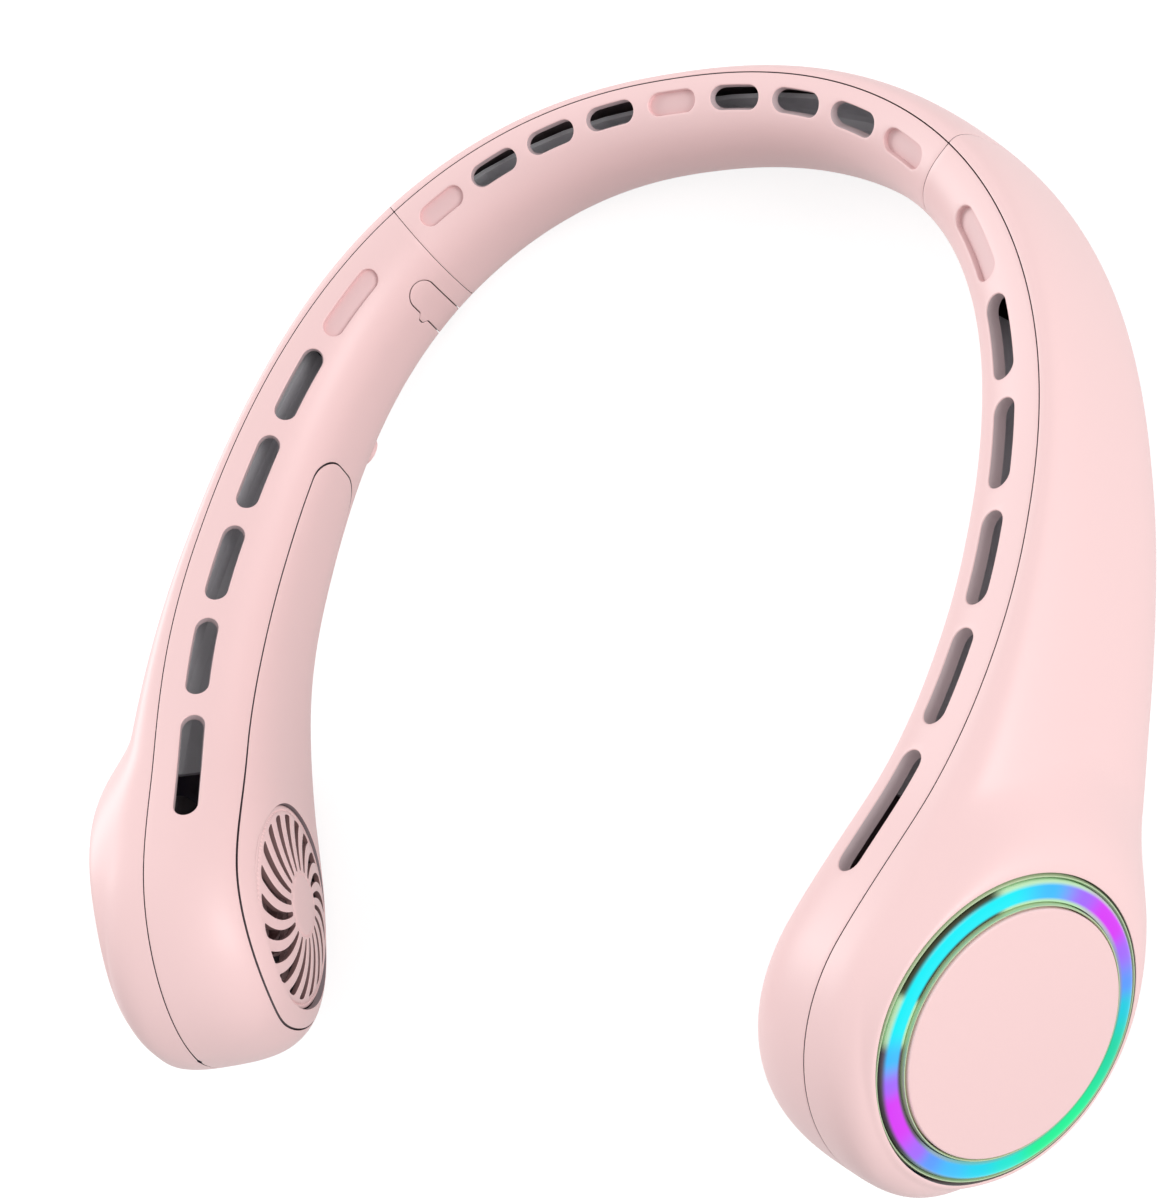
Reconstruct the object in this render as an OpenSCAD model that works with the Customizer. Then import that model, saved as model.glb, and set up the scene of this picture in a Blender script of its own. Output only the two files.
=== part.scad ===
// Neck fan: a horseshoe band worn round the neck, with a fan in each end,
// a row of air slots along its top face, and a lit ring round each outer cap.
// Millimetres. It rests on a table: slots up, +Y to the back of the neck.

/* [Band path] */
// Half width of the horseshoe, measured at the line where the casings meet
crest_half_w = 85; // [80:1:92]
// Depth of the curved back, from its middle to the widest point
back_depth = 97; // [90:1:105]
// Squareness of the curved back, 2 is an ellipse
back_square = 2.25; // [2:0.05:2.5]
// Radius of the bend that turns each arm inward
toe_r = 130; // [110:5:160]
// Angle that each arm turns inward
toe_a = 21; // [16:1:24]
// Length along the band from the middle of the back to each seam
seam_s = 66; // [62:1:70]
// Length along the band to the middle of the arm
arm_s = 128; // [122:1:134]
// Length along the band to the shoulder, where the arm starts to deepen
shoulder_s = 165; // [160:1:170]
// Length along the band to the throat of the fan housing
throat_s = 190; // [186:1:194]
// Length along the band to the centre of the fan housing
hub_s = 216; // [213:1:222]

/* [Band section] */
// Height of the band at the back
back_h = 24.5; // [23:0.5:28]
// Height of the band at the seam
seam_h = 30; // [28:0.5:33]
// Height of the band at the middle of the arm
arm_h = 33.5; // [31:0.5:36]
// Height of the band at the shoulder
shoulder_h = 40; // [37:0.5:43]
// Height of the band at the throat
throat_h = 49.5; // [46:0.5:52]
// Height of the fan housing, also the diameter of its round end
hub_h = 56; // [55:0.5:60]
// Width inside the meeting line, at the back
back_in_w = 12.2; // [11:0.1:14]
// Width inside the meeting line, at the seam
seam_in_w = 12.6; // [12:0.1:14]
// Width inside the meeting line, at the middle of the arm
arm_in_w = 17; // [16:0.1:19]
// Width inside the meeting line, at the shoulder
shoulder_in_w = 18.2; // [17.5:0.1:19]
// Width inside the meeting line, at the throat
throat_in_w = 18.8; // [18.2:0.1:20]
// Width inside the meeting line, at the fan housing
hub_in_w = 19.8; // [19.4:0.1:21]
// Width outside the meeting line, at the back and the arm
band_out_w = 3.8; // [3.4:0.1:5]
// Width outside the meeting line, at the shoulder
shoulder_out_w = 5.8; // [5:0.1:7]
// Width outside the meeting line, at the throat
throat_out_w = 9; // [8:0.1:10]
// Width outside the meeting line, at the fan housing
hub_out_w = 12.8; // [12:0.1:13.6]
// Rise of the top line at the back, above its lowest stretch
back_rise = 1.2; // [0:0.1:3]
// Rise of the top line at the fan housing
hub_rise = 3.5; // [2:0.1:5]
// Lean of the section towards the neck at the back
back_lean = 14; // [10:1:17]
// Lean of the section towards the neck along the arms
arm_lean = 17; // [14:1:19]

/* [Casing] */
// Wall of the casings
wall = 2; // [1.8:0.1:2.2]
// Gap between the outer and the inner casing, seen as a thin dark line
part_gap = 0.2; // [0.1:0.05:0.3]
// Gap between the middle and the arms
seam_gap = 0.3; // [0.2:0.05:0.5]
// Clearance round pieces that are set into the casings
fit_gap = 0.2; // [0.15:0.05:0.3]
// Gap between pieces that move past each other
move_gap = 0.4; // [0.3:0.05:0.5]

/* [Air slots] */
// Width of the air slots
slot_w = 4.6; // [4:0.1:5.2]
// Length of a slot in the middle
mid_slot_l = 10.5; // [9:0.1:11.5]
// Pitch of the slots in the middle
mid_slot_pitch = 14.3; // [13.6:0.1:14.8]
// Length of a slot in an arm
arm_slot_l = 16.2; // [14:0.1:17]
// Pitch of the slots in an arm
arm_slot_pitch = 21.3; // [20:0.1:21.8]
// Distance from the seam to the middle of the first slot in an arm
arm_slot_start = 20.3; // [18:0.1:22]
// Length of the last slot, beside the fan housing
end_slot_l = 21.5; // [18:0.1:23]
// Distance from the last slot to the centre of the fan housing
end_slot_back = 20.3; // [19:0.1:22]
// Distance of the slots inside the meeting line, at the back
back_slot_in = 4.4; // [4:0.1:5]
// Distance of the slots inside the meeting line, in the arms
arm_slot_in = 7; // [6:0.1:7.6]
// Depth of the blind recesses that carry on the row of slots
blind_depth = 0.8; // [0.5:0.1:1]

/* [Lit ring] */
// Radius of the lit ring
ring_r = 24.6; // [23.6:0.1:25]
// Width of the lit band, from the centre cap to the ring's outer edge
band_w = 4.7; // [4.2:0.1:5.2]
// Distance of the ring outside the meeting line
ring_out = 11.3; // [11:0.1:11.8]
// Distance of the ring's centre back from the fan's axis, along the arm
ring_back = 2; // [1.4:0.1:2.4]
// Angle of the ring and the grille towards the round end
face_toe = 5; // [3:0.5:6]
// Height of the cap above the ring's outer edge
cap_proud = 2; // [1.6:0.1:2.4]
// Height of the ring's crest above its outer edge
ring_proud = 1.2; // [1:0.1:1.5]

/* [Intake] */
// Distance of the grille's edge from the top and the bottom of the fan housing
grille_edge = 8.6; // [8:0.1:9.2]
// Distance of the grille's rim inside the meeting line
grille_in = 18.4; // [18.2:0.1:19]
// Rise of the grille's dome
grille_dome = 1.4; // [1:0.1:2]
// Thickness of the grille
grille_t = 1.6; // [1.4:0.1:1.8]
// Number of curved slots in the grille
grille_slots = 20; // [18:1:22]
// Radius of the plain hub of the grille
grille_hub_r = 5.9; // [5:0.1:6.5]
// Thickness of the long cover
cover_t = 1.2; // [1.1:0.05:1.3]
// Distance of the cover's edge below the top of the casing, along the arm
cover_drop = 7; // [6.5:0.1:8]
// Distance of the cover's edge below the top of the casing, beside the grille
cover_hub_drop = 5; // [4.6:0.1:6]
// Distance of the cover's far end from the round end of the casing
cover_end_margin = 4.6; // [4:0.1:5.5]
// Length of the cover from its round end to its near end
cover_l = 121; // [116:1:124]

/* [Fan] */
// Radius of the fan wheel
wheel_r = 19; // [18:0.1:19.5]
// Height of the fan wheel
wheel_h = 11.5; // [10:0.1:12]
// Number of blades
blade_n = 22; // [18:1:26]
// Thickness of a blade
blade_t = 0.8; // [0.7:0.05:1]
// Radius of the hub cup
cup_r = 9.6; // [9.2:0.1:10]
// Radius of the shaft
shaft_r = 0.75; // [0.7:0.05:0.9]
// Radius of the bearings
bearing_r = 2; // [1.9:0.05:2.2]
// Height of a bearing
bearing_h = 2; // [1.6:0.1:2.2]

/* [Port and button] */
// Width of the port's flap
flap_w = 7.2; // [6.6:0.1:7.8]
// Distance from the seam to the middle of the flap
flap_from_seam = 8.4; // [8:0.1:9]
// Thickness of the flap
flap_t = 1.1; // [1:0.05:1.2]
// Radius of the power button
button_r = 3.2; // [2.8:0.1:3.6]
// Travel of the power button
button_travel = 0.6; // [0.4:0.1:0.7]
// Distance from the seam to the power button
button_from_seam = 42; // [40:1:44]

/* [Power] */
// Length of a battery
battery_l = 44; // [40:1:46]
// Height of a battery
battery_w = 15; // [13:0.5:15.5]
// Thickness of a battery
battery_t = 9; // [8:0.5:9.5]

/* [Hidden] */
$fn = 48;

// One overrun for all cuts
cut = 1;
// Steps of the surfaces: round a half section, along the middle, the arm and the round end
skin_steps = 10;
mid_steps = 14;
arm_steps = 14;
end_steps = 6;
// Squareness of the section at each station, inside and outside the meeting line
in_square_shares = [2.25, 2.6, 3, 3.2, 3.4, 4];
out_square_shares = [2.25, 2.6, 3, 3.2, 3.2, 3.4];
// Squareness of the round end, inside and outside the meeting line
end_square_shares = [2.8, 3.4];
// Depth of the flats that the fan rests on
foot_depth = 0.3;

// Sizes at the six stations along the band
stations = [0, seam_s, arm_s, shoulder_s, throat_s, hub_s];
heights = [back_h, seam_h, arm_h, shoulder_h, throat_h, hub_h];
in_widths = [back_in_w, seam_in_w, arm_in_w, shoulder_in_w, throat_in_w, hub_in_w];
out_widths = [band_out_w * 0.8, band_out_w * 1.1, band_out_w, shoulder_out_w, throat_out_w, hub_out_w];
rises = [back_rise, back_rise * 0.5, 0, hub_rise * 0.2, hub_rise * 0.35, hub_rise];
leans = [back_lean, arm_lean, arm_lean, arm_lean, arm_lean, arm_lean];
slot_ins = [back_slot_in, back_slot_in * 0.5 + arm_slot_in * 0.5, arm_slot_in, arm_slot_in, arm_slot_in,
    arm_slot_in];
end_r = hub_h / 2;
cap_r = ring_r - band_w;
grille_r = end_r - grille_edge;

// The line in plan: a squared quarter oval, a bend, then a straight run
function oval_pt(a) = [crest_half_w * pow(sin(a), 2 / back_square),
    back_depth * (pow(cos(a), 2 / back_square) - 1)];
function bend_pt(a) = [crest_half_w - toe_r * (1 - cos(a)), -back_depth - toe_r * sin(a)];
run_l = toe_r;
plan_pts = concat([for (i = [0 : 60]) oval_pt(90 * i / 60)],
    [for (i = [1 : 10]) bend_pt(toe_a * i / 10)],
    [bend_pt(toe_a) - run_l * [sin(toe_a), cos(toe_a)]]);
plan_cum = [for (i = 0, d = 0; i < len(plan_pts);
    d = d + (i + 1 < len(plan_pts) ? norm(plan_pts[i + 1] - plan_pts[i]) : 0), i = i + 1) d];
plan_xs = [for (i = [0 : len(plan_pts) - 1]) [plan_cum[i], plan_pts[i].x]];
plan_ys = [for (i = [0 : len(plan_pts) - 1]) [plan_cum[i], plan_pts[i].y]];
function plan(s) = [sign(s) * lookup(abs(s), plan_xs), lookup(abs(s), plan_ys)];
function unit(v) = v / norm(v);
// Step of the measure of a direction along the band
dir_step = 3 * wall;
function dir(s) = unit(plan(s + dir_step) - plan(s - dir_step));

// A smooth curve through the values at the stations
function rate(v, i) = (v[i + 1] - v[i]) / (stations[i + 1] - stations[i]);
function span(i) = stations[i + 1] - stations[i];
function slope(v, i) = i == 0 || i == len(stations) - 1 ? 0 :
    (rate(v, i - 1) * span(i) + rate(v, i) * span(i - 1)) / (span(i - 1) + span(i));
function find(s, i = 0) = i == len(stations) - 2 || s < stations[i + 1] ? i : find(s, i + 1);
function at_s(v, s0) =
    let (s = min(abs(s0), hub_s), i = find(s), w = span(i), t = (s - stations[i]) / w)
    v[i] * (1 + 2 * t) * pow(1 - t, 2) + slope(v, i) * w * t * pow(1 - t, 2)
    + v[i + 1] * t * t * (3 - 2 * t) + slope(v, i + 1) * w * t * t * (t - 1);

// A point of the section: f turns from the outside (0) over the top (90) to the neck side (180)
function power(v, k) = sign(v) * pow(abs(v), k);
function section(s, f, inset = 0) =
    let (t = max(0, min(1, (abs(s) - hub_s) / (end_r - inset))),
        c = sqrt(1 - t * t),
        cw = [for (q = end_square_shares) pow(1 - pow(t, q), 1 / q)],
        half = at_s(heights, s) / 2,
        wi = (at_s(in_widths, s) - inset) * cw[0],
        wo = (at_s(out_widths, s) - inset) * cw[1],
        k = 2 / at_s(cos(f) < 0 ? in_square_shares : out_square_shares, s),
        ce = power(cos(f), k),
        se = power(sin(f), k),
        eb = (wo - wi) / 2,
        e = se >= 0 ? (ce > 0 ? wo : wi) * ce : eb + (wi + wo) / 2 * ce)
    [e, -half + (half - inset) * c * se];

// From the section's own axes to the model: e outward, h up, both leaning
function axis_o(s) = let (d = dir(s), a = at_s(leans, s)) [-d.y * cos(a), d.x * cos(a), sin(a)];
function axis_n(s) = let (d = dir(s), a = at_s(leans, s)) [d.y * sin(a), -d.x * sin(a), cos(a)];
function spot(s, e, h) = let (p = plan(s)) [p.x, p.y, at_s(rises, s)] + e * axis_o(s) + h * axis_n(s);
function skin(s, f, inset = 0, shift = 0) = let (p = section(s, f, inset)) spot(s, p.x + shift, p.y);

// The fan rests on its two housings and on the band near the seams: the tilt follows from their lowest points
back_ring = [for (s = [0 : seam_s / 8 : arm_s]) for (f = [180 : 5 : 360]) skin(s, f)];
hub_ring = [for (s = [hub_s - end_r / 2 : end_r / 8 : hub_s + end_r / 2]) for (f = [180 : 5 : 360])
    skin(s, f)];
function tilted(p, a) = [p.x, p.y * cos(a) + p.z * sin(a), p.z * cos(a) - p.y * sin(a)];
function lowest(pts, a) = let (z = min([for (p = pts) tilted(p, a).z]))
    [for (p = pts) if (tilted(p, a).z == z) p][0];
function tilt_of(a) = let (b = lowest(back_ring, a), g = lowest(hub_ring, a)) atan2(b.z - g.z, b.y - g.y);
rest_tilt = tilt_of(tilt_of(tilt_of(0)));
rest_drop = tilted(lowest(hub_ring, rest_tilt), rest_tilt).z;
// The front and the back of the model, for its origin in the middle of its footprint
back_edge = max([for (f = [-90 : 5 : 270]) tilted(skin(0, f), rest_tilt).y]);
front_edge = min([for (s = [hub_s : end_r / 16 : hub_s + end_r]) for (f = [0 : 15 : 345])
    tilted(skin(s, f), rest_tilt).y]);
rest_shift = [0, -(back_edge + front_edge) / 2, -rest_drop - foot_depth];

module rest_pose() translate(rest_shift) rotate([-rest_tilt, 0, 0]) children();
module both(side) mirror([side < 0 ? 1 : 0, 0, 0]) children();

// Frames: at a station, on the skin, on the fan's axis, on the ring and on the grille
function frame(x, y, z, p) = [[x.x, y.x, z.x, p.x], [x.y, y.y, z.y, p.y], [x.z, y.z, z.z, p.z], [0, 0, 0, 1]];
module at_station(s, e, h)
    multmatrix(frame(cross(axis_o(s), axis_n(s)), axis_o(s), axis_n(s), spot(s, e, h))) children();
// Half step of the measure of the skin's slope
slope_step = 1;
module on_skin(s, f)
    let (x = unit(skin(s + slope_step, f) - skin(s - slope_step, f)),
        z = unit(cross(skin(s, f + slope_step) - skin(s, f - slope_step), x)))
    multmatrix(frame(x, cross(z, x), z, skin(s, f))) children();
module fan_axis() at_station(hub_s, 0, -hub_h / 2) rotate([-90, 0, 0]) children();
module ring_place() fan_axis() translate([-ring_back, 0, ring_out]) rotate([0, face_toe, 0]) children();
module grille_place() fan_axis() translate([0, 0, -grille_in]) rotate([0, 180 - face_toe, 0]) children();

// A solid through closed rings of points, each ring two chains of equal length
module loft(rings, flip) {
    m = len(rings[0]);
    last = len(rings) - 1;
    pts = [for (r = rings) for (p = r) p];
    sides = [for (i = [0 : last - 1]) for (j = [0 : m - 1])
        let (a = i * m + j, b = i * m + (j + 1) % m) each [[a, b, a + m], [b, b + m, a + m]]];
    caps = [for (k = [0 : m / 2 - 2])
        let (a = k, b = k + 1, c = m - 2 - k, d = m - 1 - k, n = last * m)
        each [[a, d, b], [b, d, c], [n + a, n + b, n + d], [n + b, n + c, n + d]]];
    faces = concat(sides, caps);
    polyhedron(points = pts, faces = flip ? [for (f = faces) [f[0], f[2], f[1]]] : faces);
}

// A strip of the skin between two insets, as a ring of points
function strip(s, s_in, f0, f1, n, inset0, inset1, shift = 0) = concat(
    [for (k = [0 : n]) skin(s, f0 + (f1 - f0) * k / n, inset0, shift)],
    [for (k = [n : -1 : 0]) skin(s_in, f0 + (f1 - f0) * k / n, inset1, shift)]);

// One half of the casing, outside (side 1) or inside (side -1) the meeting line
end_shares = [for (i = [1 : end_steps])
    i == end_steps ? 0.998 : sin(90 * i / end_steps) / 2 + i / end_steps / 2];
arm_start = seam_s + seam_gap / 2;
mid_end = seam_s - seam_gap / 2;
function half_ring(s, s_in, side) =
    strip(s, s_in, 90, 90 - side * 180, skin_steps, 0, wall, side * part_gap / 2);
module mid_half(side)
    loft([for (i = [0 : mid_steps]) let (s = mid_end * (2 * i / mid_steps - 1)) half_ring(s, s, side)],
        side < 0);
module arm_half(side)
    loft(concat(
        [for (i = [0 : arm_steps]) let (s = arm_start + (hub_s - arm_start) * i / arm_steps)
            half_ring(s, s, side)],
        [for (u = end_shares)
            half_ring(hub_s + end_r * sin(90 * u), hub_s + (end_r - wall) * sin(90 * u), side)]),
        side < 0);

// The flats that the fan stands on
module floor_cut() {
    low = hub_h;
    wide = crest_half_w * 2 + hub_h * 2;
    translate([-wide / 2, -wide, -low]) cube([wide, wide * 2, low]);
}

// An air slot, through the wall or blind, with a chamfered rim
rim_t = 0.35;
slot_sides = 16;
function slot_f(s) =
    let (p = at_s(in_square_shares, s)) 180 - acos(pow(at_s(slot_ins, s) / at_s(in_widths, s), p / 2));
module slot(s, l, depth, parts) {
    step = (l - slot_w) / parts;
    for (i = [0 : parts - 1]) {
        ends = [for (j = [i, i + 1]) s - (l - slot_w) / 2 + j * step];
        hull() for (t = ends) on_skin(t, slot_f(t))
            translate([0, 0, -depth]) cylinder(d = slot_w, h = depth + cut, $fn = slot_sides);
        hull() for (t = ends) on_skin(t, slot_f(t))
            translate([0, 0, -rim_t])
            cylinder(d1 = slot_w, d2 = slot_w + 4 * rim_t, h = 2 * rim_t, $fn = slot_sides);
    }
}
open_depth = wall * 2.2;
mid_slot_n = 4;
arm_slot_n = 5;
module mid_slots() for (i = [-mid_slot_n : mid_slot_n])
    slot(i * mid_slot_pitch, mid_slot_l, i % mid_slot_n == 0 ? blind_depth : open_depth, 1);
module arm_slots() {
    for (i = [0 : arm_slot_n - 1])
        slot(seam_s + arm_slot_start + i * arm_slot_pitch, arm_slot_l, i == 0 ? blind_depth : open_depth, 1);
    slot(hub_s - end_slot_back, end_slot_l, open_depth, 3);
}

// Tabs of the outer casing that hook under the inner one, along the top and the bottom
tab_l = 5;
tab_t = 1;
tab_in = 1.4;
tab_drop = 0.9;
module tab(s) at_station(s, 0, -wall - tab_t) hull() {
    translate([-tab_l / 2, part_gap, 0]) cube([tab_l, tab_in, tab_t]);
    translate([-tab_l / 2, -tab_in, -tab_drop]) cube([tab_l, part_gap, tab_t]);
}
function mid_e(s) = (at_s(out_widths, s) - at_s(in_widths, s)) / 2;
module foot_tab(s) at_station(s, mid_e(s), wall - at_s(heights, s)) hull() {
    translate([-tab_l / 2, part_gap, 0]) cube([tab_l, tab_in, tab_t]);
    translate([-tab_l / 2, -tab_in, tab_drop]) cube([tab_l, part_gap, tab_t]);
}
arm_tabs = [for (i = [0 : 3]) seam_s + arm_slot_start + (i + 0.5) * arm_slot_pitch];
mid_tabs = [for (i = [-1.5, -0.5, 0.5, 1.5]) i * mid_slot_pitch * 2];

// The long cover: rows along the arm, from its near end to its round end
cover_round = cover_drop;
cover_drops = [cover_drop, cover_drop, cover_drop, cover_drop, cover_drop * 0.5 + cover_hub_drop * 0.5,
    cover_hub_drop];
cover_cols = 6;
cover_end = hub_s + end_r - cover_end_margin;
function cover_half(s, grow) =
    let (half = at_s(heights, s) / 2 - at_s(cover_drops, s) + grow,
        near = cover_end - cover_l - grow,
        x = min(s - near, cover_round),
        u = max(0, s - hub_s) / (cover_end + grow - hub_s))
    (half - cover_round + sqrt(pow(cover_round, 2) - pow(cover_round - x, 2))) * sqrt(1 - u * u);
function cover_f(s, grow) =
    let (t = max(0, s - hub_s) / end_r, half = at_s(heights, s) / 2 * sqrt(1 - t * t))
    asin(pow(min(1, cover_half(s, grow) / half), at_s(in_square_shares, s) / 2));
module cover_patch(grow, inset0, inset1) {
    near = cover_end - cover_l - grow;
    far = cover_end + grow;
    rows = concat([for (a = [0 : 22.5 : 67.5]) near + cover_round * (1 - cos(a))],
        [for (i = [0 : 8]) near + cover_round + (hub_s - near - cover_round) * i / 8],
        [for (u = end_shares) hub_s + (far - hub_s) * sin(90 * u)]);
    loft([for (s = rows) let (a = cover_f(s, grow))
        strip(s, s, 180 - a, 180 + a, cover_cols, inset0, inset1)], true);
}
ledge_w = 1.6;
module cover_opening() {
    cover_patch(fit_gap, -cut, cover_t + fit_gap / 2);
    cover_patch(-ledge_w, -cut, wall + cut);
    grille_place() translate([0, 0, -grille_skirt * 2])
        cylinder(r = grille_r + grille_rim + fit_gap, h = grille_skirt * 2 + hub_h / 4);
}

// The port's flap: rows round the section, rounded at the top, with a barrel at its foot
flap_s = seam_s + flap_from_seam;
flap_top_share = 0.417;
flap_foot_share = 0.656;
flap_top_a = 360 * flap_top_share;
flap_foot_a = 360 * flap_foot_share;
flap_rows = 9;
flap_barrel_r = flap_t * 0.6;
function skin_rate(s, f) = norm(skin(s, f + slope_step) - skin(s, f - slope_step)) / (2 * slope_step);
module flap_patch(grow, inset0, inset1) {
    r = flap_w / 2 + grow;
    top = flap_top_a - grow / skin_rate(flap_s, flap_top_a);
    step = 1 / skin_rate(flap_s, flap_top_a);
    turn = [for (a = [12, 40, 65]) [top + r * (1 - cos(a)) * step, r * sin(a)]];
    rest = [for (i = [0 : flap_rows]) [top + r * step + (flap_foot_a - top - r * step) * i / flap_rows, r]];
    rings = [for (q = concat(turn, rest)) [
        for (x = [-1, 0, 1]) skin(flap_s + x * q[1], q[0], inset0),
        for (x = [1, 0, -1]) skin(flap_s + x * q[1], q[0], inset1)]];
    loft(rings, false);
}
module flap_barrel(r, l) on_skin(flap_s, flap_foot_a)
    translate([0, 0, -flap_barrel_r]) rotate([0, 90, 0]) cylinder(r = r, h = l, center = true);
run_gap = move_gap * 0.75;
mouth_deep = flap_t + 2 * run_gap;
socket_w = 8.9;
socket_t = 3.2;
socket_l = 7.3;
socket_a = 180;
module stadium(w, t) {
    square([t, w - t], center = true);
    for (y = [-1, 1]) translate([0, y * (w - t) / 2]) circle(d = t);
}
module port_cut() {
    flap_patch(run_gap, -cut, flap_t + run_gap);
    flap_barrel(flap_barrel_r + run_gap, flap_w + 2 * run_gap);
    on_skin(flap_s, socket_a) translate([0, 0, -wall - cut])
        linear_extrude(wall + cut) stadium(socket_w + 2 * fit_gap, socket_t + 2 * fit_gap);
    on_skin(flap_s + flap_w / 2, socket_a) hull() for (y = [-1, 1])
        translate([0, y * flap_t, -flap_t]) cylinder(d = flap_t * 2, h = flap_t + cut, $fn = 16);
}

// The power button, on the lower neck side of the left arm
button_s = seam_s + button_from_seam;
button_share = 0.678;
button_a = 360 * button_share;
button_flange = 0.8;
module button_place() on_skin(button_s, button_a) children();
button_foot = wall * 1.9 + run_gap + button_flange;
switch_top = button_foot + button_travel + fit_gap / 2;
switch_h = 1.6;
switch_w = 4.2;
switch_base = 8.4;
switch_base_t = 0.8;
cage_t = 1.2;
module button_cage() button_place() for (x = [-1, 1]) hull() {
    translate([x * (switch_base + cage_t + fit_gap) / 2, 0, -wall * 0.7])
        cube([cage_t, switch_w, cage_t], center = true);
    translate([x * (switch_base + cage_t + fit_gap) / 2, 0, -switch_top - switch_h])
        cube([cage_t, switch_w, cage_t], center = true);
}

// The raised seat round the lit ring, part of the outer casing
seat_w = 1;
seat_flare = 2.6;
seat_deep = 6;
module ring_seat() ring_place() rotate_extrude() polygon([[ring_r, -seat_deep],
    [ring_r + seat_flare, -seat_deep], [ring_r + seat_flare * 0.6, -seat_deep * 0.45],
    [ring_r + seat_w, -seat_w], [ring_r + seat_w * 0.7, 0], [ring_r, 0]]);
module ring_bore() ring_place() {
    translate([0, 0, -seat_deep - wall]) cylinder(r = ring_r + fit_gap, h = seat_deep + hub_h);
    cylinder(r = ring_r + seat_w, h = hub_h);
}

shell_colour = [0.96, 0.84, 0.84];
module mid_outer_shell() color(shell_colour) difference() {
    rest_pose() {
        mid_half(1);
        for (s = mid_tabs) tab(s);
        for (s = mid_tabs) foot_tab(s);
    }
    floor_cut();
}
module mid_inner_shell() color(shell_colour) difference() {
    rest_pose() difference() {
        mid_half(-1);
        mid_slots();
    }
    floor_cut();
}
module outer_shell(side) color(shell_colour) both(side) difference() {
    rest_pose() difference() {
        union() {
            arm_half(1);
            ring_seat();
            for (s = arm_tabs) tab(s);
            for (s = arm_tabs) foot_tab(s);
        }
        ring_bore();
    }
    floor_cut();
}
module inner_shell(side) color(shell_colour) both(side) difference() {
    rest_pose() difference() {
        union() {
            arm_half(-1);
            if (side < 0) button_cage();
        }
        arm_slots();
        cover_opening();
        if (side < 0) port_cut();
        if (side < 0) button_place() translate([0, 0, -button_foot])
            cylinder(r = button_r + run_gap, h = button_foot + cut);
    }
    floor_cut();
}
module inner_cover(side) color(shell_colour) both(side) rest_pose() difference() {
    cover_patch(0, 0, cover_t);
    grille_place() translate([0, 0, -grille_in / 2]) cylinder(r = grille_r + fit_gap, h = grille_in);
}

// The intake grille: a shallow dome with curved slots round a plain hub
grille_rim = 0.8;
grille_skirt = 3.4;
grille_flange = 0.8;
grille_swirl = 24;
swirl_curve = 1.7;
grille_slot_w = 2.5;
grille_slot_in_w = 1;
grille_margin = 1.1;
dome_r = (pow(grille_r, 2) + pow(grille_dome, 2)) / (2 * grille_dome);
function dome_z(r) = sqrt(pow(dome_r, 2) - r * r) - dome_r + grille_dome;
function dome_line(drop, r0, r1) = [for (i = [0 : 8]) let (r = r0 + (r1 - r0) * i / 8) [r, dome_z(r) - drop]];
function swirl(r, w) =
    let (a = grille_swirl * pow((r - grille_hub_r) / (grille_r - grille_hub_r), swirl_curve))
    [r * cos(a) - w * sin(a), r * sin(a) + w * cos(a)];
module swirl_slot() {
    r0 = grille_hub_r + grille_margin;
    r1 = grille_r - grille_rim - grille_margin / 2;
    side = [for (i = [0 : 5]) [r0 + (r1 - r0) * i / 5,
        (grille_slot_in_w + (grille_slot_w - grille_slot_in_w) * i / 5) / 2]];
    polygon(concat([for (q = side) swirl(q[0], -q[1])],
        [for (i = [5 : -1 : 0]) swirl(side[i][0], side[i][1])]));
}
module intake_grille(side) color(shell_colour) both(side) rest_pose() grille_place() {
    difference() {
        rotate_extrude() polygon(concat([[0, grille_dome - grille_t]],
            dome_line(grille_t, 0, grille_r - grille_rim),
            [[grille_r - grille_rim, -grille_skirt], [grille_r + grille_rim, -grille_skirt],
            [grille_r + grille_rim, grille_flange - grille_skirt],
            [grille_r, grille_flange - grille_skirt], [grille_r, 0]],
            [for (i = [7 : -1 : 0]) let (r = grille_r * i / 8) [r, dome_z(r)]]));
        for (i = [0 : grille_slots - 1]) rotate([0, 0, 360 * i / grille_slots])
            translate([0, 0, -grille_t * 2]) linear_extrude(grille_t * 4) swirl_slot();
    }
}

// The lit ring, from its rim inward: clear trim, light guide and cap
trim_w = 1.2;
ring_deep = 3;
cap_edge = 0.7;
cap_t = 1.6;
cap_skirt_w = 1.2;
board_t = 1.2;
board_deep = ring_deep + fit_gap + board_t;
module ring_trim(side) color([0.86, 0.9, 0.84]) both(side) rest_pose() ring_place() rotate_extrude()
    polygon([[ring_r - trim_w, -ring_deep], [ring_r, -ring_deep], [ring_r, 0],
        [ring_r - trim_w, ring_proud * 0.75]]);
guide_out = ring_r - trim_w - fit_gap / 4;
guide_in = cap_r + fit_gap;
guide_mid = (guide_out + guide_in) / 2;
module light_ring(side) color([0.35, 0.85, 0.9]) both(side) rest_pose() ring_place() rotate_extrude()
    polygon(concat([[guide_in, -ring_deep], [guide_out, -ring_deep]],
        [for (a = [0 : 15 : 180]) [guide_mid + (guide_out - guide_in) / 2 * cos(a),
            ring_proud * (0.75 + 0.25 * sin(a))]]));
module centre_cap(side) color([0.95, 0.82, 0.82]) both(side) rest_pose() ring_place() rotate_extrude()
    polygon(concat([[0, cap_proud - cap_t], [cap_r - 2 * cap_skirt_w, cap_proud - cap_t],
        [cap_r - 2 * cap_skirt_w, -ring_deep], [cap_r - cap_skirt_w, -ring_deep],
        [cap_r - cap_skirt_w, cap_proud - cap_t], [cap_r, cap_proud - cap_t]],
        [for (a = [0 : 15 : 90])
            [cap_r - cap_edge + cap_edge * cos(a), cap_proud - cap_edge + cap_edge * sin(a)]],
        [[0, cap_proud]]));
led_n = 14;
led_w = 1.8;
led_t = 0.7;
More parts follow.
